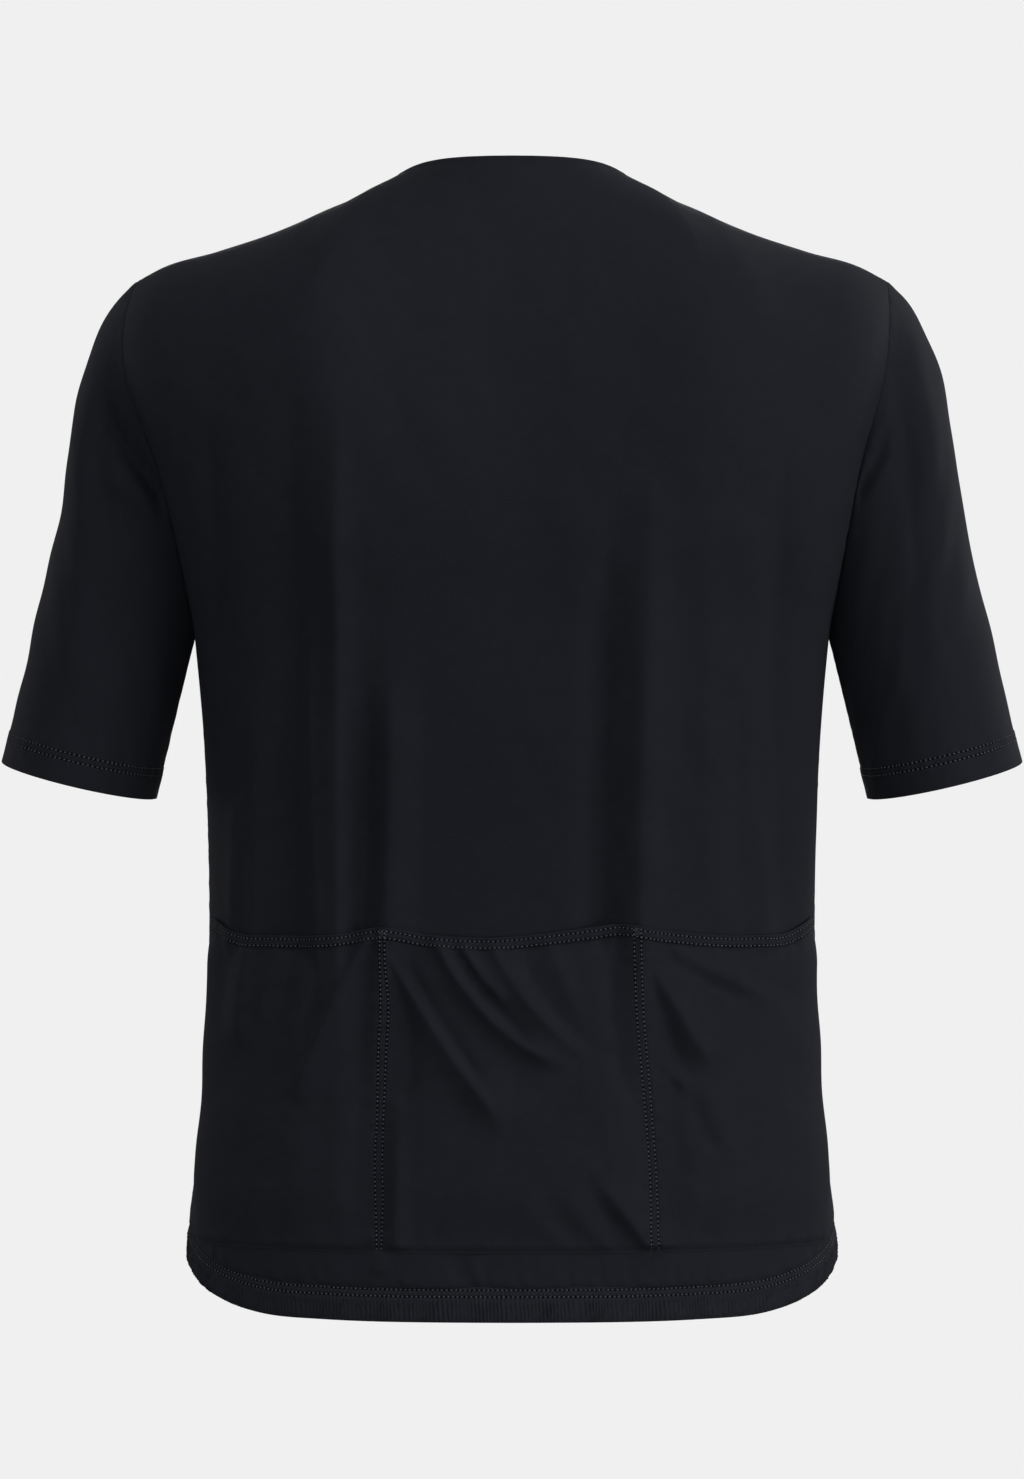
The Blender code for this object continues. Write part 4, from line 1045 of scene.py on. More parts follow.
def panel_normals(turn, levels, plain, across, seams, side_levels):
    """A body panel's normals, drawn along its side and armhole seams towards those that it shares there."""
    normals = grid_normals(plain, from_axis(plain) + UPWARDS)
    back = abs(turn[0, 0]) <= 90
    for column in seams:
        side = np.sign(turn[0, column])
        shared = np.empty((len(levels), 3))
        shared[:side_levels] = side_seam_normals(side, levels[:side_levels])
        shared[side_levels:] = armhole_normals(side, levels[side_levels:] - 1, back)
        distance = across if column == 0 else across[:, -1:] - across
        normals = unit(mix(normals, shared[:, None, :], fading(distance, SEAM_BLEND)[..., None]))
    return normals


def armhole_lift(side, rises, back):
    """How cloth stands out along the armhole seam's upper part, so that body and sleeve meet smoothly."""
    _, inwards, along = armhole_steps(side, rises, back)
    line = unit(along)
    inwards = unit(inwards - line * np.sum(inwards * line, axis=-1, keepdims=True))
    normals = armhole_normals(side, rises, back)
    hollow = np.sum(inwards * normals, axis=-1).clip(0)
    return normals * (LIFT_REACH * hollow * ease(rises, *LIFT_STARTS))[:, None]


def lifted(plain, turn, levels, underarm, seams):
    """A body panel's surface, raised along the upper part of its armhole seams."""
    raised = plain.copy()
    for column in seams:
        lift = armhole_lift(np.sign(turn[0, column]), levels[underarm:] - 1, abs(turn[0, 0]) <= 90)
        away = np.linalg.norm(plain[underarm:] - plain[underarm:, column][:, None], axis=-1)
        raised[underarm:] += lift[:, None, :] * np.exp(-away / LIFT_REACH)[..., None]
    return raised


def lapped(points, edges):
    """The points with the named edges moved out past their seam lines."""
    moved = points.copy()
    for edge in edges:
        first, second = {
            "start": ((slice(None), 0), (slice(None), 1)),
            "end": ((slice(None), -1), (slice(None), -2)),
            "bottom": ((0,), (1,)),
            "top": ((-1,), (-2,)),
        }[edge]
        moved[first] -= unit(points[second] - points[first]) * SEAM_LAP
    return moved


def body_fade(share, level):
    """1 on a body panel, and 0 towards its side seams and the shoulders, where its folds die out."""
    return until(share, *BODY_FOLDS_SIDE) * until(level, *BODY_FOLDS_TOP)


def back_height(x, z, share, level):
    """How far the back's cloth stands out of its plain surface."""
    folds = fold_height(x, z, BACK_FOLDS, BODY_CREST) + fold_height(x, z, BACK_CREASES, BODY_CREST)
    folds = folds + fold_height(x, z, BACK_SWELLS)
    return (folds + dents(x, z, 5, BACK_DENTS)) * body_fade(share, level)


def front_height(x, z, share, level, from_zip, seed):
    """How far a front's cloth stands out of its plain surface."""
    folds = fold_height(x, z, FRONT_FOLDS, BODY_CREST) + fold_height(x, z, FRONT_CREASES, BODY_CREST)
    return (folds + dents(x, z, seed, FRONT_DENTS)) * body_fade(share, level) * ease(from_zip, *ZIP_CALM)


def eased_underarm(plain, share):
    """The body's surface with the change of slope at the underarm's height made gradual."""
    weight = fading(plain[..., 2] - UNDERARM_Z, EASE_REACH) * until(share, *EASE_UNTIL)
    for _ in range(EASE_ROUNDS):
        plain = plain.copy()
        plain[1:-1] += weight[1:-1, :, None] * ((plain[:-2] + plain[2:]) / 2 - plain[1:-1])
    return plain


def body_levels(base, fine):
    """Levels from the hem seam to the underarm and on to neck and shoulders, and how many are below it."""
    low = spread_levels(0, 1, base, fine, [0])
    return np.concatenate([low, spread_levels(1, 2, base, fine, [-0.01])[1:]]), len(low)


def panel_form(turns, levels, underarm, seams):
    """A body panel's plain surface and normals, and what its details are placed by. The seams are those of
    its first and last column that are sewn to a neighbour, and the underarm is a row."""
    made = SimpleNamespace(level=np.broadcast_to(levels[:, None], turns.shape), share=from_middle(turns))
    plain = lifted(eased_underarm(body(turns, made.level), made.share), turns, levels, underarm, seams)
    made.plain, made.x, made.z = plain, plain[..., 0], plain[..., 2]
    made.up, made.across = lengths(plain, 0), lengths(plain, 1)
    made.from_top, made.from_end = made.up[-1] - made.up, made.across[:, -1:] - made.across
    made.normals = panel_normals(turns, levels, plain, made.across, seams, underarm)
    made.depth = mix(*ARMHOLE_DEPTHS, ease(made.level - 1, *ARMHOLE_CHANGE))
    made.at_neck = until(made.share, NECK_SHARE, NECK_SHARE + NECK_CORNER)
    return made


def add_panel(name, panel, height, edges, seed, proud, finish):
    """A body panel's cloth, with its seam at the hem band, its shoulder seam and its neckline."""
    up, across, from_top, at_neck = panel.up, panel.across, panel.from_top, panel.at_neck
    height = height + seam(up, across, seed, pucker=BOTTOM_PUCKER)
    height = height + (1 - at_neck) * seam(from_top, across, seed + 1, proud=proud)
    height = height + at_neck * neck_hem(from_top, across, seed + 2)
    outer = lapped(panel.plain + panel.normals * height[..., None], edges)
    thickness = KNIT + NECK_HEM_THICKER * at_neck * until(from_top, NECK_HEM, NECK_HEM + 1)
    return add_cloth(name, outer, panel.normals, thickness, finish)


def add_back(finish):
    """The back, from side seam to side seam."""
    levels, underarm = body_levels(*BACK_ROWS)
    corner = 90 * NECK_SHARE
    middle = spread_turns(-corner, corner, BACK_GRID[0], BACK_GRID[0], [0])
    right = spread_turns(-90, -corner, *BACK_GRID, [0])
    turns = np.concatenate([right[:-1], middle, -right[-2::-1]])
    panel = panel_form(np.broadcast_to(turns, (len(levels), len(turns))), levels, underarm, (0, -1))
    x, z, up = panel.x, panel.z, panel.up
    height = back_height(x, z, panel.share, panel.level)
    for distance, seed in ((panel.across, 11), (panel.from_end, 12)):
        height = height + seam(distance, up, seed, depth=panel.depth)
    height = height + fold_height(x, z, HEM_CREASES) + hem_puckers(up, panel.across, 16)
    return add_panel("back_panel", panel, height, ("start", "end", "bottom"), 13, ALLOWANCE_PROUD, finish)


def front_turns(side, levels):
    """A front's turns, from its side seam to its edge beside the zip."""
    edge = 180 - np.abs(turn_at(TAPE_EDGE, levels, side))
    corner = 90 * NECK_SHARE
    sides = -spread_turns(-90, -corner, *FRONT_GRID, [0])
    shares = spread_turns(-corner, 0, *FRONT_EDGE_GRID, [-0.01, -2, -6])
    shares = (shares - shares[0]) / (shares[-1] - shares[0])
    middle = corner + (edge[:, None] - corner) * shares[1:]
    turns = side * (180 - np.concatenate([np.broadcast_to(sides, (len(levels), len(sides))), middle], axis=1))
    turns[:, 0] = side * (90 + SEAM_STEP)
    return turns


def add_front(name, side, finish, seed):
    """A front, from its side seam to its turned edge, which is sewn on the zip's tape."""
    levels, underarm = body_levels(*FRONT_ROWS)
    panel = panel_form(front_turns(side, levels), levels, underarm, (0,))
    up, across, from_zip = panel.up, panel.across, panel.from_end
    height = front_height(panel.x, panel.z, panel.share, panel.level, from_zip, seed)
    height = height + seam(across, up, seed + 2, proud=ALLOWANCE_PROUD, depth=panel.depth)
    height = height + hem_puckers(up, across, seed + 6) * ease(from_zip, *ZIP_HEM_CALM)
    height = height + FRONT_EDGE_PROUD * hem_step(from_zip, FRONT_EDGE_HEM, FRONT_EDGE_STEP)
    height = height + groove(from_zip, *ZIP_GROOVE) + puckers(from_zip, up, seed + 7, *ZIP_PUCKERS)
    return add_panel(name, panel, height, ("start", "bottom"), seed + 3, 0.0, finish)


# ---- Sleeves ----

CUFF_HEM, CUFF_HEM_PROUD, CUFF_HEM_THICKER = 19.6, 0.4, 0.45
CUFF_ROWS = (14.6, 18.9)
CUFF_GROOVE, CUFF_PUCKERS = (0.22, 0.8), (0.2, 9, 7, CUFF_ROWS[0] + 2)
UNDERARM_GROOVE, UNDERARM_PUCKERS = (0.3, 1.3), (0.08, 12, 6)
UNDERARM_CALM = (2, 24)  # how far from the underarm seam a sleeve's folds begin
SEAM_CALM = (4, 14)  # how far from the armhole the underarm seam's puckers begin
HOLLOWS_FROM = (0, 9)  # how far from the armhole the hollows beside it begin
SLEEVE_COLUMNS, SLEEVE_ROWS = (2.5, 0.5), (2.3, 0.28)  # steps, at most and beside a seam
SLEEVE_DENTS, SLEEVE_DENT_SIZES = 0.4, (55, 48)
SLEEVE_DENTS_START, SLEEVE_DENTS_END = (2, 20), (80, 98)  # percent along the sleeve
SLEEVE_ROUND = 55  # about its radius
SLEEVE_ALLOWANCE, SLEEVE_PUCKER = 0.15, 0.2
ALLOWANCE_TURNS = (0, 12)  # from the underarm seam, where the allowance's step begins


def round_armhole(side, around, values):
    """Values along the armhole's back and front half, in the order of the sleeve's columns."""
    behind = around <= 180
    back = values(side, around[behind] / 180, True)
    front_rises = np.concatenate([[0.0], (360 - around[~behind])[::-1] / 180, [1.0]])
    return np.concatenate([back, values(side, front_rises, False)[1:-1][::-1]])


def sleeve_grid(side):
    """Turns round a sleeve, and shares of the way down it."""
    turns, half = np.linspace(0, 360, 2 * DENSE), DENSE
    line = sleeve(side, turns, 0.5)
    first = spread(turns[: half + 1], line[: half + 1], *SLEEVE_COLUMNS, [0])
    second = spread(turns[half:], line[half:], *SLEEVE_COLUMNS, [END])
    around = np.concatenate([first[:-1], [180.0], second[1:-1]])
    down = np.linspace(0, 1, DENSE)
    spots = [0, 2, -CUFF_ROWS[1], -CUFF_ROWS[0], END]
    return around, spread(down, sleeve(side, 90.0, down), *SLEEVE_ROWS, spots)[:, None]


def sleeve_form(side, around, along):
    """A sleeve's plain surface and its normals, which pass into the body's at the armhole."""
    plain = sleeve(side, around, along)
    lift = round_armhole(side, around, armhole_lift)
    plain = plain + lift * np.exp(-np.linalg.norm(plain - plain[0], axis=-1) / LIFT_REACH)[..., None]
    normals = surface_normals(plain, plain - plain.mean(axis=1, keepdims=True), closed=True)
    shared = round_armhole(side, around, armhole_normals)
    weight = fading(lengths(plain, 0), SEAM_BLEND)[..., None]
    return plain, unit(mix(normals, shared[None], weight))


def sleeve_height(side, turn, percent, up, under, seed):
    """How far a sleeve's folds, its small swellings and the hollows beside the armhole stand out."""
    fade = ease(percent, *SLEEVE_FOLDS_START) * until(percent, *SLEEVE_FOLDS_END)
    folds = fold_height(turn, percent, SLEEVE_FOLDS) + fold_height(turn, percent, SLEEVE_CREASES)
    angle = np.radians(turn)
    round_sleeve = (SLEEVE_ROUND * np.cos(angle), SLEEVE_ROUND * np.sin(angle))
    broad = sum(uneven(up, round_sleeve[k], SLEEVE_DENT_SIZES[k], seed + k) for k in range(2))
    broad = SLEEVE_DENTS * broad * ease(percent, *SLEEVE_DENTS_START) * until(percent, *SLEEVE_DENTS_END)
    hollows = fold_height(turn, percent, SLEEVE_HOLLOWS[side]) * ease(up, *HOLLOWS_FROM)
    return (folds * fade + broad) * ease(under, *UNDERARM_CALM) + hollows


def add_sleeve(name, side, finish, seed):
    """A sleeve, with its underarm seam, drag folds, allowance step at the armhole and turned cuff."""
    around, along = sleeve_grid(side)
    plain, normals = sleeve_form(side, around, along)
    up, across = lengths(plain, 0), lengths(plain, 1)
    turn, percent = (np.broadcast_to(part, up.shape) for part in (around, 100 * along))
    under = np.minimum(across, across[:, -1:] + across[:, 1:2] - across)
    from_cuff = up[-1] - up
    height = sleeve_height(side, turn, percent, up, under, seed)
    proud = SLEEVE_ALLOWANCE * ease(np.minimum(turn, 360 - turn), *ALLOWANCE_TURNS)
    depth = mix(*ARMHOLE_DEPTHS, ease(np.where(around <= 180, around, 360 - around) / 180, *ARMHOLE_CHANGE))
    height = height + seam(up, across, seed + 2, proud, SLEEVE_PUCKER, depth)
    waves = puckers(under, up, seed + 3, *UNDERARM_PUCKERS) * ease(up, *SEAM_CALM)
    height = height + groove(under, *UNDERARM_GROOVE) + waves
    height = height + CUFF_HEM_PROUD * hem_step(from_cuff, CUFF_HEM)
    height = height + grooves(from_cuff, CUFF_ROWS, *CUFF_GROOVE)
    height = height + puckers(from_cuff, across, seed + 4, *CUFF_PUCKERS)
    outer = lapped(plain + normals * height[..., None], ("bottom",))
    thickness = KNIT + CUFF_HEM_THICKER * until(from_cuff, CUFF_HEM - 1, CUFF_HEM + 1)
    return add_cloth(name, outer, normals, thickness, finish, closed=True)


# ---- Pockets ----

POCKET_STITCH_ROWS = (2.2, 6.3)  # from the pockets' top edge
POCKET_HEM_EDGE = 7.2
POCKET_HEM_FOLDS, POCKET_HEM_CALM = 0.45, (-3, 1)  # how much of the folds the top hem takes part in
POCKET_THICKNESS, POCKET_HEM_STEP = 0.9, 0.55
POCKET_HEIGHT = 180.0  # about
POCKET_MIDDLE_Z = -545.0
POCKET_GRID, POCKET_GROWTH = (1.9, 0.3), (0.25, 0.3)  # steps, and how they grow across and up the pockets
POCKET_SUNK, POCKET_SINKS = 1.1, (0.78, 0.91)  # how far its hem's ends sink into the back's cloth, and where
POCKET_SINKS_BELOW = (5.0, 20.0)  # across the back, and how far below the pockets' top edge that ends
POCKET_FLAT, POCKET_SIDES = (0.5, 5.0), (0.87, 0.95)  # where the cloth is thinned towards bottom and sides,
POCKET_SETTLED, POCKET_THINNED = 0.75, 0.6  # how much lower it lies there, and how much of it is left out
POCKET_OVER, POCKET_BLEND = 0.5, 0.8  # how it passes over the back's folds: how far above them, how smoothly
POCKET_DENTS = ((0.4, 34, 1.5),)
POCKET_GROOVE, DIVIDER_GROOVE = (0.28, 0.7), (0.42, 0.8)
FOOT_GROOVE, HEM_GROOVE = (0.12, 0.8, 1.6), (0.35, 0.6, POCKET_HEM_EDGE + 0.4)
DIVIDER_PUCKERS, TOP_PUCKERS, FOOT_PUCKERS = (0.22, 9, 6, 3), (0.22, 12, 8, 8), (0.12, 10, 7, 4)
POCKET_STEP = (-0.5, 0.4)  # how sharply the top hem's step ends
SIDES_SEWN = (0, 3)  # how far from the pockets' side edges the grooves under the stitches begin
DIVIDERS = (  # the left and the right one, and how far apart their two rows of stitches are
    table(
        "z x apart",
        (-636, 77.0, 2.6),
        (-603, 77.0, 4.4),
        (-588, 77.4, 4.4),
        (-557, 76.4, 3.8),
        (-518, 75.2, 4.6),
        (-497, 74.1, 4.6),
        (-466, 75.5, 2.9),
        (-440, 75.5, 2.9),
    ),
    table(
        "z x apart",
        (-636, -82.9, 4.4),
        (-588, -81.6, 3.6),
        (-557, -79.3, 3.6),
        (-527, -76.7, 4.0),
        (-497, -74.3, 4.0),
        (-466, -73.2, 4.0),
        (-440, -72.6, 4.0),
    ),
)
DIVIDER_SPREAD = 30.0  # how far from a divider its slant carries the grid's columns along
DIVIDER_SLANTS = 150.0  # how far from the back's middle it does


def turn_of_x(x, z):
    """The turn at which the body's outline at a height has a given x."""
    half_width = curve(z, RINGS["z"], RINGS["half_width"])
    power = 2 / curve(z, RINGS["z"], RINGS["squareness"])
    return np.degrees(np.arcsin(signed_power(np.clip(x / half_width, -1, 1), 1 / power)))


def divider_x(divider, z):
    return curve(z, divider["z"], divider["x"])


def divider_half(divider, z):
    """Half the distance between a divider's two rows of stitches."""
    return curve(z, divider["z"], divider["apart"]) / 2


def pocket_columns():
    """Turns of the pockets' columns at their middle height, closer beside the dividers' stitches."""
    dense = np.linspace(-90 * POCKET_REACH, 90 * POCKET_REACH, 2 * DENSE)
    line = ring(dense, POCKET_MIDDLE_Z + 0 * dense)
    spots = [0.0, END]
    for divider in DIVIDERS:
        x, half = divider_x(divider, POCKET_MIDDLE_Z), divider_half(divider, POCKET_MIDDLE_Z)
        spots += [float(np.interp(x + way * half, line[:, 0], line_lengths(line))) for way in (-1, 1)]
    return spread(dense, line, *POCKET_GRID, spots, POCKET_GROWTH[0])


def pocket_grid():
    """Turns and heights of the pockets' grid, whose columns run along the dividers."""
    turn = pocket_columns()
    nominal = ring(turn, POCKET_MIDDLE_Z + 0 * turn)[:, 0]
    top = curve(nominal, POCKET_TOP["x"], POCKET_TOP["z"])
    bottom = np.maximum(band_top(turn) + POCKET_LIFT, POCKET_BOTTOM_Z)
    spots = [0, 2.0, POCKET_HEIGHT] + [POCKET_HEIGHT - row for row in (POCKET_HEM_EDGE, *POCKET_STITCH_ROWS)]
    share = graded(0, POCKET_HEIGHT, *POCKET_GRID, spots, POCKET_GROWTH[1]) / POCKET_HEIGHT
    z = mix(bottom, top, share[:, None])
    turns = np.broadcast_to(turn, z.shape).copy()
    inside = np.abs(nominal) < DIVIDER_SLANTS
    for divider in DIVIDERS:
        start = divider_x(divider, POCKET_MIDDLE_Z)
        move = (divider_x(divider, z) - start) * fading(nominal - start, DIVIDER_SPREAD)
        shifted = turn_of_x(nominal + move, z) - turn_of_x(nominal + 0 * move, z)
        turns = turns + np.where(inside, shifted, 0)
    return turns, z, share


def smooth_max(first, second, blend):
    return (first + second + np.sqrt((first - second) ** 2 + blend**2)) / 2


def pocket_height(x, z, share, rise, from_top, from_divider):
    """How far the pockets' cloth stands out in its own folds and in the fullness between the dividers."""
    own = fold_height(x, z, POCKET_FOLDS, POCKET_CREST, POCKET_SWELLS)
    own = own + fold_height(x, z, POCKET_CREASES, BODY_CREST, POCKET_SWELLS)
    own = own * mix(1, POCKET_HEM_FOLDS, hem_step(from_top, POCKET_HEM_EDGE, POCKET_HEM_CALM))
    own = own + fold_height(x, z, POCKET_FOOT_FOLDS, BODY_CREST, FOOT_SWELLS, FOOT_FADES)
    own = (own + dents(x, z, 31, POCKET_DENTS)) * until(share, *BODY_FOLDS_SIDE) * ease(rise, 0, FOLDED_ABOVE)
    full = ease(from_divider, 0, DIVIDER_REACH) * until(share, *FULL_UNTIL)
    return POCKET_FULLNESS * full * ease(rise, 0, FULL_ABOVE) * until(rise, *FULL_BELOW) + own


def pocket_sewing(z, distances, up, across, from_top, hem):
    """The pockets' grooves under their stitches, and the puckers and the edges' grooves beside them."""
    sewn = grooves(from_top, POCKET_STITCH_ROWS, *POCKET_GROOVE)
    detail = puckers(from_top, across, 51, *TOP_PUCKERS) + puckers(up, across, 52, *FOOT_PUCKERS)
    detail = detail + groove(up, *FOOT_GROOVE) + groove(from_top, *HEM_GROOVE)
    for distance, divider, seed in zip(distances, DIVIDERS, (41, 43)):
        half = divider_half(divider, z)
        sewn = sewn + grooves(distance, (-half, half), *DIVIDER_GROOVE) * (1 - hem)
        detail = detail + puckers(np.abs(distance), up, seed, *DIVIDER_PUCKERS) * (1 - hem)
    return sewn, detail


def add_pocket_panel(finish):
    """The pockets: they lie on the back's folds, and stand out in their own and between the dividers."""
    turns, z, shares_up = pocket_grid()
    plain = ring(turns, z)
    normals = grid_normals(plain, from_axis(plain))
    x, share = plain[..., 0], from_middle(turns)
    rise = np.broadcast_to(shares_up[:, None], z.shape)
    up, across = lengths(plain, 0), lengths(plain, 1)
    from_top = up[-1] - up
    distances = [x - divider_x(divider, z) for divider in DIVIDERS]
    own = pocket_height(x, z, share, rise, from_top, np.min(np.abs(distances), axis=0))
    below = back_height(x, z, share, (z - band_top(turns)) / (UNDERARM_Z - band_top(turns)))
    flat = 1 - until(share, *POCKET_SIDES) * ease(rise * POCKET_HEIGHT, *POCKET_FLAT)
    sunk = POCKET_SUNK * ease(share, *POCKET_SINKS) * until(from_top, *POCKET_SINKS_BELOW)
    height = smooth_max(own, below + POCKET_OVER, POCKET_BLEND) - POCKET_SETTLED * flat - sunk
    thin = 1 - POCKET_THIN * ease(share, *POCKET_THINS)
    hem = hem_step(from_top, POCKET_HEM_EDGE, POCKET_STEP)
    sewn, detail = pocket_sewing(z, distances, up, across, from_top, hem)
    detail = detail + POCKET_HEM_STEP * hem * thin
    thickness = (POCKET_THICKNESS + POCKET_HEM_STEP * hem) * thin * (1 - POCKET_THINNED * flat)
    from_side = np.minimum(across, across[:, -1:] - across)
    outer = plain + normals * (height + thickness + detail + sewn * ease(from_side, *SIDES_SEWN))[..., None]
    return add_cloth("pocket_cloth", outer, normals, thickness, finish)


# ---- Hem band ----

BAND_ROWS = (1.6, 5.6)  # stitch rows, from the band's upper edge
BAND_MIDDLE = sum(BAND_ROWS) / 2
BAND_GATHERS, BAND_COLUMNS_EACH = 430, 6
BAND_SUNK, BAND_THICKER, GATHERS_THICKER = 0.45, 0.5, 0.7
BAND_GROOVE, BAND_TOP_GROOVE = (0.3, 0.8), (0.3, 1.2)
BAND_GRID, BAND_GROWTH = (1.7, 0.3), 0.4
BAND_PROUD, PROUD_FROM, PROUD_UNTIL = 0.35, (0, 2), (12, 16)  # up the band
# Waves over the band: height, shares of along and up, pitch, seed.
GATHERS_DRIFT = ((0.45, 1, 0, 26, 61), (0.2, 1, 3, 11, 65), (0.12, 0, 1, 16, 62))
GATHERS_SIZE = ((0.34, 1, 0, 19, 63), (0.28, 1, 1, 7, 64))
MIDDLE_SIZE, LEAST_SIZE, MOST_SIZE = 0.6, 0.1, 1.3
BELOW_PROUD, BELOW_FROM, FOOT_SHARE, FOOT_UNTIL = 0.95, (BAND_ROWS[1] - 0.8, BAND_ROWS[1] + 5), 0.75, (0, 4)
BETWEEN_PROUD, ABOVE_UNTIL, BETWEEN_REACH = 0.35, (0, BAND_ROWS[0] + 1), 1.6
GATHERS_START = (1.5, 8)  # from the band's ends


def band_waves(along, up, rows):
    return sum(height * wander(a * along + b * up, pitch, seed) for height, a, b, pitch, seed in rows)


def gathers(along, up, total):
    """The height of the elastic's uneven gathers: low between and above the rows of sewing, full below."""
    from_top = HEM_BAND - up
    wave = np.cos(math.tau * (along / total * BAND_GATHERS + band_waves(along, up, GATHERS_DRIFT)))
    size = np.clip(MIDDLE_SIZE + band_waves(along, up, GATHERS_SIZE), LEAST_SIZE, MOST_SIZE)
    below = BELOW_PROUD * ease(from_top, *BELOW_FROM) * mix(FOOT_SHARE, 1, ease(up, *FOOT_UNTIL))
    between = until(from_top, *ABOVE_UNTIL) + fading(from_top - BAND_MIDDLE, BETWEEN_REACH)
    ends = ease(np.minimum(along, total - along), *GATHERS_START)
    return (0.5 + 0.5 * wave) * size * (below + BETWEEN_PROUD * between) * ends


def add_hem_band(finish):
    """The elastic hem: uneven gathers under two rows of sewing."""
    edge = turn_at(TAPE_EDGE, np.array([0.0]), 1)[0]
    dense = np.linspace(-edge, edge, 4 * DENSE)
    measured = line_lengths(ring(dense, mix(hem_z(dense), band_top(dense), 0.5)))
    total = measured[-1]
    turn = np.interp(np.linspace(0, total, BAND_GATHERS * BAND_COLUMNS_EACH + 1), measured, dense)
    rows = [0, HEM_BAND - BAND_MIDDLE, HEM_BAND]
    rise = graded(0, HEM_BAND, *BAND_GRID, rows, BAND_GROWTH)[:, None] / HEM_BAND
    z = mix(hem_z(turn), band_top(turn), rise)
    plain = ring(np.broadcast_to(turn, z.shape), z)
    normals = grid_normals(plain, from_axis(plain))
    along = np.broadcast_to(np.linspace(0, total, len(turn)), z.shape)
    up = HEM_BAND * np.broadcast_to(rise, z.shape)
    from_top = HEM_BAND - up
    swell = gathers(along, up, total)
    height = swell + BAND_PROUD * ease(up, *PROUD_FROM) * until(up, *PROUD_UNTIL) - BAND_SUNK
    height = height + grooves(from_top, BAND_ROWS, *BAND_GROOVE) + groove(from_top, *BAND_TOP_GROOVE)
    outer = lapped(plain + normals * height[..., None], ("top",))
    thickness = KNIT + BAND_THICKER + GATHERS_THICKER * swell
    return add_cloth("hem_elastic_band", outer, normals, thickness, finish, step=4)


# ---- Materials ----

BLACK = (0.0090, 0.0097, 0.0129)
HEM_BLACK = (0.0115, 0.0122, 0.0158)
# The second thread colour is no thread's own: it is painted shade, for the needle holes between the stitches.
THREAD_GREY, HOLE_PAINTED_SHADE = (0.060, 0.063, 0.073), (0.0012, 0.0013, 0.0018)
COIL_BLACK = (0.012, 0.012, 0.014)
METAL_BLACK = (0.030, 0.030, 0.033)
SHEEN_TINT = (0.8, 0.86, 1, 1)
KNIT_GAUGE, HEM_GAUGE = (0.95, 0.80), (1.1, 0.9)  # pitch of the knit's stitches, across and along
KNIT_RELIEF, HEM_RELIEF = 0.13, 0.16
SLANT, LOWEST, HOLLOW = 0.55, 0.0001, 0.6  # of the V that a stitch shows
TWILL = (0.55, 0.70)  # pitch, across and along
STREAKS = 0.18  # the knit's streaks are longer across the cloth with a smaller number


def new_material(name, colour, **sockets):
    """A material, its node tree and its shader, with constant values on the shader's own sockets."""
    made = bpy.data.materials.new(name)
    made.use_nodes = True
    shader = made.node_tree.nodes["Principled BSDF"]
    shader.inputs["Base Color"].default_value = (*colour, 1)
    for socket, value in sockets.items():
        shader.inputs[socket.replace("_", " ")].default_value = value
    return made, made.node_tree, shader


def feed(tree, socket, value):
    """A number, a colour or another node's output, into a socket."""
    if isinstance(value, bpy.types.NodeSocket):
        tree.links.new(value, socket)
    elif value is not None:
        socket.default_value = value


def node(tree, kind, inputs=None, **settings):
    """A new node with its settings, and numbers, colours or other nodes' outputs in its named inputs."""
    made = tree.nodes.new("ShaderNode" + kind)
    for setting, value in settings.items():
        setattr(made, setting, value)
    for name, value in (inputs or {}).items():
        feed(tree, made.inputs[name], value)
    return made


def calc(tree, operation, *values):
    return node(tree, "Math", dict(enumerate(values)), operation=operation).outputs[0]


def remap(tree, value, low, high):
    """Values between 0 and 1 become values between low and high."""
    return node(tree, "MapRange", {"Value": value, "To Min": low, "To Max": high}).outputs[0]


def noise(tree, vector, size, detail=3.0, roughness=0.5):
    """Noise with cells of a size in millimetres."""
    inputs = {"Vector": vector, "Scale": 1 / (size * MM), "Detail": detail, "Roughness": roughness}
    return node(tree, "TexNoise", inputs).outputs["Fac"]


def scaled(tree, vector, factors):
    return node(tree, "VectorMath", {0: vector, 1: factors}, operation="MULTIPLY").outputs[0]


def paint(tree, shader, colour, shade, roughness):
    """The shader's colour, made lighter or darker by a shade that a node gives, and its roughness."""
    tinted = node(tree, "VectorMath", {0: colour, "Scale": shade}, operation="SCALE")
    feed(tree, shader.inputs["Base Color"], tinted.outputs[0])
    feed(tree, shader.inputs["Roughness"], roughness)


def bump(tree, shader, height, distance, strength, under=None):
    inputs = {"Strength": strength, "Distance": distance * MM, "Height": height, "Normal": under}
    made = node(tree, "Bump", inputs)
    feed(tree, shader.inputs["Normal"], made.outputs[0])
    return made.outputs[0]


def ripple(tree, phase, middle, half):
    """A wave of the phase, which goes from one whole number to the next in each turn."""
    wave = calc(tree, "SINE", calc(tree, "MULTIPLY", phase, math.tau))
    return calc(tree, "MULTIPLY_ADD", wave, half, middle)


def cloth_coordinates(tree):
    """The cloth's own coordinates, across and along its stitches, and both as a vector."""
    vector = node(tree, "Attribute", attribute_name="cloth").outputs["Vector"]
    parts = node(tree, "SeparateXYZ", {0: vector})
    return parts.outputs[0], parts.outputs[1], vector


def surface_place(tree):
    return node(tree, "NewGeometry").outputs["Position"]


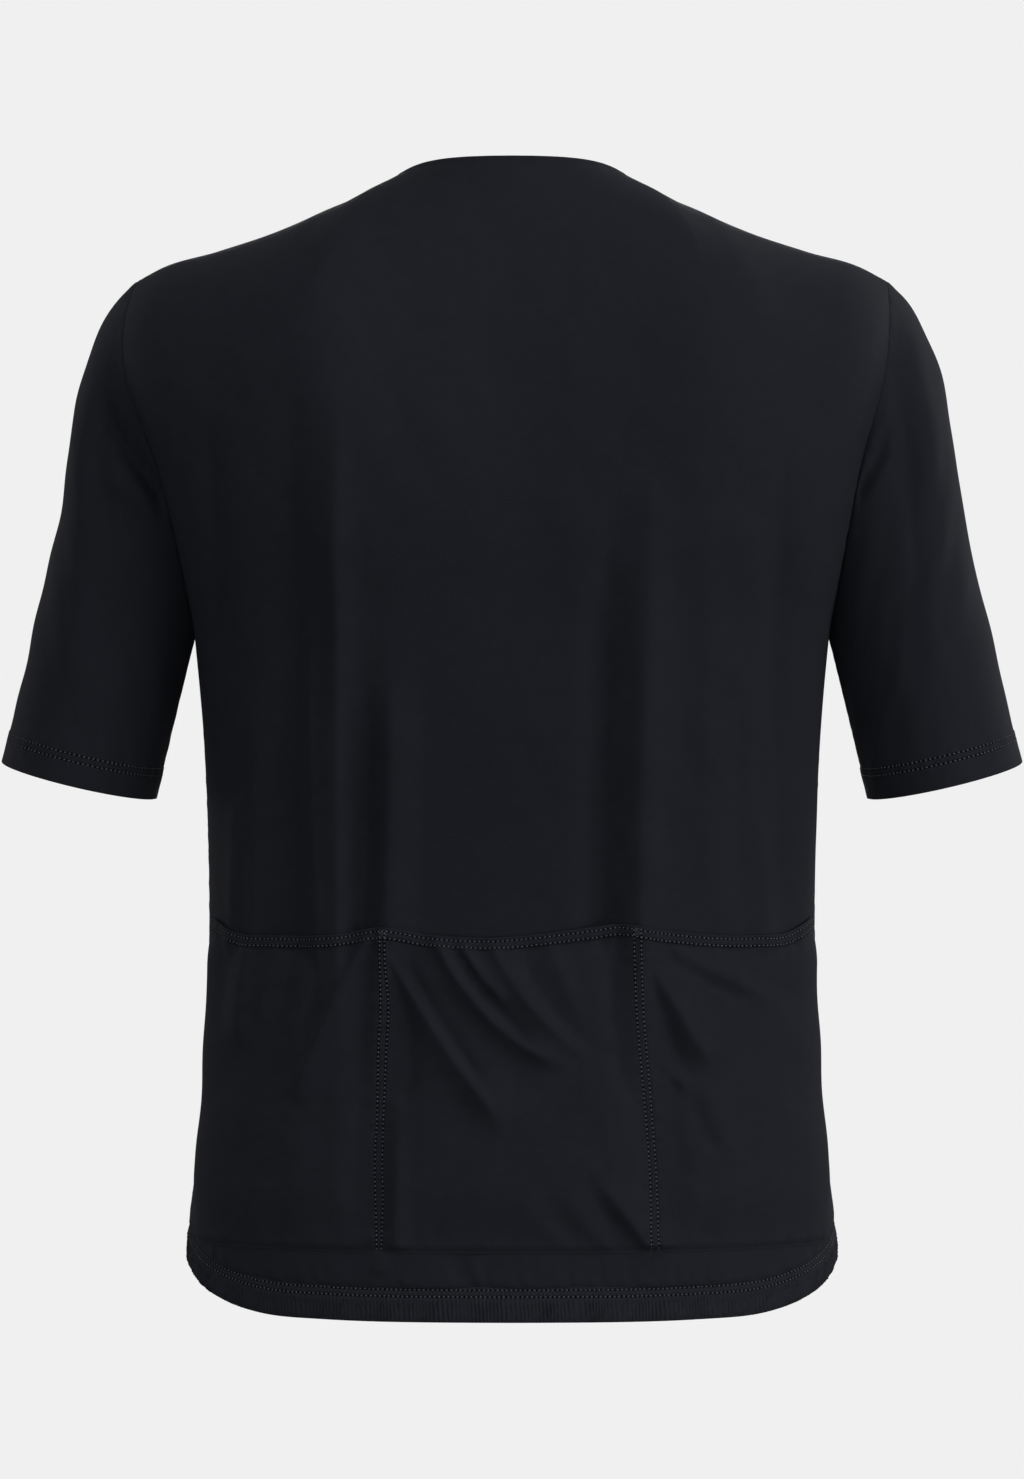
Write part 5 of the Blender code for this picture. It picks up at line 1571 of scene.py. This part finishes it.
def knit_height(tree, across, along, gauge):
    """The height of a plain knit's face: columns of small V shapes."""
    wale, course = gauge
    column = calc(tree, "FRACT", calc(tree, "DIVIDE", across, wale * MM))
    leg = calc(tree, "ABSOLUTE", calc(tree, "MULTIPLY_ADD", column, 2.0, -1.0))
    row = calc(tree, "SUBTRACT", calc(tree, "DIVIDE", along, course * MM), calc(tree, "MULTIPLY", leg, SLANT))
    profile = calc(tree, "MAXIMUM", calc(tree, "SINE", calc(tree, "MULTIPLY", leg, math.pi)), LOWEST)
    return calc(tree, "MULTIPLY", calc(tree, "POWER", profile, HOLLOW), ripple(tree, row, 0.7, 0.3))


def knit_material(name, colour=BLACK, gauge=KNIT_GAUGE, relief=KNIT_RELIEF):
    """Black polyester knit: small stitches, whose hollows are also painted darker as shade, a faint mottle, a
    soft sheen.
    """
    sheen = {"Sheen_Weight": 0.012, "Sheen_Roughness": 0.4, "Sheen_Tint": SHEEN_TINT}
    made, tree, shader = new_material(name, colour, Specular_IOR_Level=0.05, **sheen)
    across, along, vector = cloth_coordinates(tree)
    stitches = knit_height(tree, across, along, gauge)
    fuzz = noise(tree, vector, 1.6, roughness=0.6)
    streaks = noise(tree, scaled(tree, vector, (STREAKS, 1, 1)), 1.5)
    shade = remap(tree, noise(tree, vector, 9.0), 0.82, 1.18)
    # The stitches' height darkens the colour in their hollows too: painted shade, beside the bump.
    for pattern, low, high in ((fuzz, 0.78, 1.22), (stitches, 0.62, 1.2), (streaks, 0.9, 1.1)):
        shade = calc(tree, "MULTIPLY", shade, remap(tree, pattern, low, high))
    paint(tree, shader, colour, shade, remap(tree, fuzz, 0.72, 0.88))
    bump(tree, shader, stitches, relief, 0.8, under=bump(tree, shader, fuzz, 0.25, 0.35))
    return made


def thread_material(name, colour, specular=0.3):
    """Twisted polyester thread, and the near-black marks of painted shade in the needle holes."""
    made, tree, shader = new_material(name, colour, Specular_IOR_Level=specular)
    grain = noise(tree, surface_place(tree), 0.5, detail=2.0)
    paint(tree, shader, colour, remap(tree, grain, 0.6, 1.4), remap(tree, grain, 0.45, 0.65))
    bump(tree, shader, grain, 0.05, 0.5)
    return made


def tape_material(name):
    """Zip tape: a fine twill, painted darker in its low lines as shade, beside their bump."""
    made, tree, shader = new_material(name, COIL_BLACK, Specular_IOR_Level=0.25, Sheen_Weight=0.05)
    across, along, vector = cloth_coordinates(tree)
    places = [calc(tree, "DIVIDE", place, pitch * MM) for place, pitch in zip((across, along), TWILL)]
    twill = ripple(tree, calc(tree, "ADD", *places), 0.5, 0.5)
    fuzz = noise(tree, vector, 1.2)
    # The twill darkens the colour in its low lines: painted shade, beside the bump.
    shade = calc(tree, "MULTIPLY", remap(tree, fuzz, 0.75, 1.25), remap(tree, twill, 0.7, 1.15))
    paint(tree, shader, COIL_BLACK, shade, remap(tree, fuzz, 0.62, 0.8))
    bump(tree, shader, twill, 0.10, 0.8, under=bump(tree, shader, fuzz, 0.15, 0.3))
    return made


def hard_material(name, colour, roughness, metallic, specular=0.5):
    """Coated metal or moulded nylon: slightly uneven gloss, with fine scuffs."""
    made, tree, shader = new_material(name, colour, Metallic=metallic, Specular_IOR_Level=specular)
    place = surface_place(tree)
    fine = noise(tree, place, 0.35, detail=4.0, roughness=0.65)
    gloss = remap(tree, noise(tree, place, 3.0), roughness - 0.07, roughness + 0.1)
    paint(tree, shader, colour, remap(tree, fine, 0.8, 1.25), gloss)
    bump(tree, shader, fine, 0.03, 0.4)
    return made


# ---- Studio ----

BACKGROUND = 0.8713  # of the pale backdrop
AMBIENT, AMBIENT_BLUE = 0.34, 1.04  # what the surroundings light the jersey with
CAMERA_AT, LENS, SENSOR = Vector((0, 3.0, -0.3399)), 121.7, 36.0
FLOOR_Z, FLOOR_SIZE = -1.05, 60.0
FLOOR_NEAR, FLOOR_FAR = 0.9, 1.75  # metres from the middle, where the floor becomes the backdrop
FLOOR_ALBEDO, FLOOR_GLOW = 0.24, 0.56
LIGHTS = (  # name, place, height of the aim, size and power
    ("side", (-3.1, 1.1, 0.2), -0.35, (1.2, 1.4), 51.0),
    ("top", (-0.5, 1.2, 3.0), -0.35, (1.6, 1.6), 59.0),
    ("near_camera", (0.4, 3.3, 0.5), -0.35, (2.0, 2.0), 42.0),
    ("low_right", (-1.7, 1.5, -1.1), -0.45, (1.0, 0.6), 32.0),
    ("low_left", (1.7, 1.5, -1.2), -0.55, (1.0, 0.6), 7.0),
    ("front_key", (-2.3, -2.2, 0.8), -0.35, (1.2, 1.4), 24.0),
    ("front_fill", (0.0, -3.3, 0.4), -0.35, (1.2, 1.2), 62.0),
    ("front_left", (2.6, -1.9, 0.0), -0.35, (1.0, 1.2), 10.0),
)


def add_backdrop(scene):
    """The backdrop that the camera sees, and the surroundings that light the jersey."""
    world = bpy.data.worlds.new("studio")
    scene.world = world
    world.use_nodes = True
    tree = world.node_tree
    tree.nodes.clear()
    seen = node(tree, "Background", {"Color": (BACKGROUND, BACKGROUND, BACKGROUND, 1)})
    lighting = node(tree, "Background", {"Color": (AMBIENT, AMBIENT, AMBIENT * AMBIENT_BLUE, 1)})
    chosen = node(tree, "LightPath").outputs["Is Camera Ray"]
    mixed = node(tree, "MixShader", {0: chosen, 1: lighting.outputs[0], 2: seen.outputs[0]})
    node(tree, "OutputWorld", {0: mixed.outputs[0]})


def add_lights(scene):
    """The softboxes, each turned towards the body's middle line."""
    for name, place, aim_z, size, power in LIGHTS:
        light = bpy.data.lights.new(name, "AREA")
        light.shape = "RECTANGLE"
        light.size, light.size_y = size
        light.energy = power
        lamp = bpy.data.objects.new(name, light)
        scene.collection.objects.link(lamp)
        lamp.location = place
        lamp.rotation_euler = (Vector((0, 0, aim_z)) - Vector(place)).to_track_quat("-Z", "Y").to_euler()


def add_camera(scene):
    """The photo's camera: level, behind the middle of the back."""
    camera = bpy.data.objects.new("camera", bpy.data.cameras.new("camera"))
    camera.data.lens, camera.data.sensor_width = LENS, SENSOR
    camera.data.sensor_fit = "AUTO"
    camera.data.clip_end = 100
    camera.location = CAMERA_AT
    camera.rotation_euler = (math.pi / 2, 0, math.pi)
    scene.collection.objects.link(camera)
    scene.camera = camera


def floor_material():
    """The pale floor's material, which glows like the backdrop further away from the middle."""
    made, tree, shader = new_material("floor", (FLOOR_ALBEDO,) * 3, Roughness=0.9, Specular_IOR_Level=0.0)
    shader.inputs["Emission Color"].default_value = (1, 1, 1, 1)
    shader.inputs["Emission Strength"].default_value = FLOOR_GLOW
    level = scaled(tree, surface_place(tree), (1, 1, 0))
    distance = node(tree, "VectorMath", {0: level}, operation="LENGTH").outputs["Value"]
    inputs = {"Value": distance, "From Min": FLOOR_NEAR, "From Max": FLOOR_FAR}
    fade = node(tree, "MapRange", inputs, interpolation_type="SMOOTHSTEP")
    glow = node(tree, "Emission", {"Color": (BACKGROUND, BACKGROUND, BACKGROUND, 1)})
    mixed = node(tree, "MixShader", {0: fade.outputs[0], 1: shader.outputs[0], 2: glow.outputs[0]})
    feed(tree, tree.nodes["Material Output"].inputs["Surface"], mixed.outputs[0])
    return made


def add_floor(scene):
    """A pale floor that passes into the backdrop away from the jersey."""
    mesh = bpy.data.meshes.new("floor")
    half = FLOOR_SIZE / 2
    corners = [(-half, -half, FLOOR_Z), (half, -half, FLOOR_Z), (half, half, FLOOR_Z), (-half, half, FLOOR_Z)]
    mesh.from_pydata(corners, [], [(0, 1, 2, 3)])
    floor = bpy.data.objects.new("floor", mesh)
    scene.collection.objects.link(floor)
    floor.visible_diffuse = floor.visible_glossy = False
    mesh.materials.append(floor_material())


# ---- The pockets' sewing ----

HEM_PITCH, DIVIDER_PITCH, CUFF_PITCH, BAND_PITCH, ZIP_PITCH = 2.75, 2.6, 2.9, 2.7, 2.6
TACK_WIDTH, TACK_COUNT, TACK_PITCH = 5.2, 5, 1.15
TACK_START, TACK_SHIFT, TACK_SHARE, TACK_THREAD = 0.6, 0.8, 0.6, 0.22
TACK_STITCH = 0.99 * TACK_WIDTH / 3  # a third of the width, and no more than fits
DIVIDER_SEARCH = 25.0  # how far from a divider's mean place its rows are looked for
DIVIDER_STOP = 0.8  # below the pockets' top edge


def divider_line(surface, divider, way):
    """One of a divider's two rows, from the pockets' bottom to their top."""
    points, up = surface["points"], surface["up"]
    line, normals = [], []
    for r in np.flatnonzero(up[-1, 0] - up[:, 0] > DIVIDER_STOP):
        x, z = points[r, :, 0], points[r, :, 2]
        aim = x - divider_x(divider, z) - way * divider_half(divider, z)
        places = np.flatnonzero(np.abs(x - divider["x"].mean()) < DIVIDER_SEARCH)
        at = np.array([float(r)]), np.array([np.interp(0, aim[places], places)])
        line.append(sample(points, *at)[0])
        normals.append(sample(surface["normals"], *at)[0])
    return np.array(line), np.array(normals)


def tack_row(surface, divider, n, seed):
    """One short row of thread across a divider, in from the pockets' top edge."""
    line, normals = edge_line(surface, POCKET_STITCH_ROWS[0] - TACK_START + n * TACK_PITCH)
    distance = line[:, 0] - divider_x(divider, line[:, 2])
    order = np.argsort(distance)
    spots = np.linspace(-TACK_WIDTH / 2, TACK_WIDTH / 2, 5) + (n % 2 - 0.5) * TACK_SHIFT
    path, out = (
        np.stack([np.interp(spots, distance[order], part[order, i]) for i in range(3)], axis=1)
        for part in (line, normals)
    )
    return stitch_run(path, unit(out), TACK_STITCH, TACK_SHARE, seed)


def sew_pocket(surface, threads):
    """Two rows along the top hem, two down each divider, and a tack over each divider."""
    hem = [edge_line(surface, row) for row in POCKET_STITCH_ROWS]
    add_sewing("pocket_hem_stitches", hem, HEM_PITCH, 80, threads, start=2.0)
    rows = [divider_line(surface, divider, way) for divider in DIVIDERS for way in (-1, 1)]
    add_sewing("divider_stitches", rows, DIVIDER_PITCH, 84, threads)
    tacks = [tack_row(surface, DIVIDERS[k], n, 90 + k + n) for k in range(2) for n in range(TACK_COUNT)]
    add_stitches("pocket_tacks", tacks, threads["light"], radius=TACK_THREAD)


# ---- The jersey ----


def add_side(name, side, seed, knit, sleeve_knit, tape, threads):
    """One side's front, sleeve and zip tape, with their sewing."""
    front, surface = add_front("front_panel_" + name, side, knit, seed)
    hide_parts("front_" + name)
    line = edge_line(surface, ZIP_STITCH, "across")
    add_sewing("zip_stitches_" + name, [line], ZIP_PITCH, seed + 9, threads)
    arm, surface = add_sleeve("sleeve_cloth_" + name, side, sleeve_knit, seed + 50)
    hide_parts("sleeve_" + name)
    sew_rows("cuff_stitches_" + name, surface, CUFF_ROWS, CUFF_PITCH, seed + 60, threads, closed=True)
    strip = add_tape("zip_tape_cloth_" + name, side, tape)
    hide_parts("zip_tape_" + name)


def add_jersey():
    """The jersey's materials and pieces."""
    knit, sleeve_knit = knit_material("knit_black"), knit_material("knit_sleeve")
    elastic = knit_material("knit_hem", HEM_BLACK, HEM_GAUGE, HEM_RELIEF)
    thread = thread_material("thread_grey", THREAD_GREY)
    # the dark thread material paints the shade in the needle holes
    threads = {"light": thread, "dark": thread_material("thread_in_shadow", HOLE_PAINTED_SHADE, specular=0.02)}
    tape = tape_material("zip_tape_weave")
    coil = hard_material("zip_nylon", COIL_BLACK, 0.42, 0.0, 0.4)
    metal = hard_material("zip_black_metal", METAL_BLACK, 0.36, 0.85)

    back, _ = add_back(knit)
    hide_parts("back")
    for name, side, seed in (("left", 1, 100), ("right", -1, 130)):
        add_side(name, side, seed, knit, sleeve_knit, tape, threads)
    pocket, surface = add_pocket_panel(knit)
    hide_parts("pocket_panel")
    sew_pocket(surface, threads)
    band, surface = add_hem_band(elastic)
    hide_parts("hem_band")
    sew_rows("hem_stitches", surface, BAND_ROWS, BAND_PITCH, 70, threads)
    base = add_chain(coil, tape, thread)
    for row in HARDWARE:
        softened(*row, metal)


def main():
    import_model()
    scene = bpy.context.scene
    scene.view_settings.view_transform = "Standard"
    add_backdrop(scene)
    add_lights(scene)
    add_camera(scene)
    add_floor(scene)
    add_jersey()
    for made in bpy.data.objects:
        if made.type == "MESH":
            made.data.update()


main()
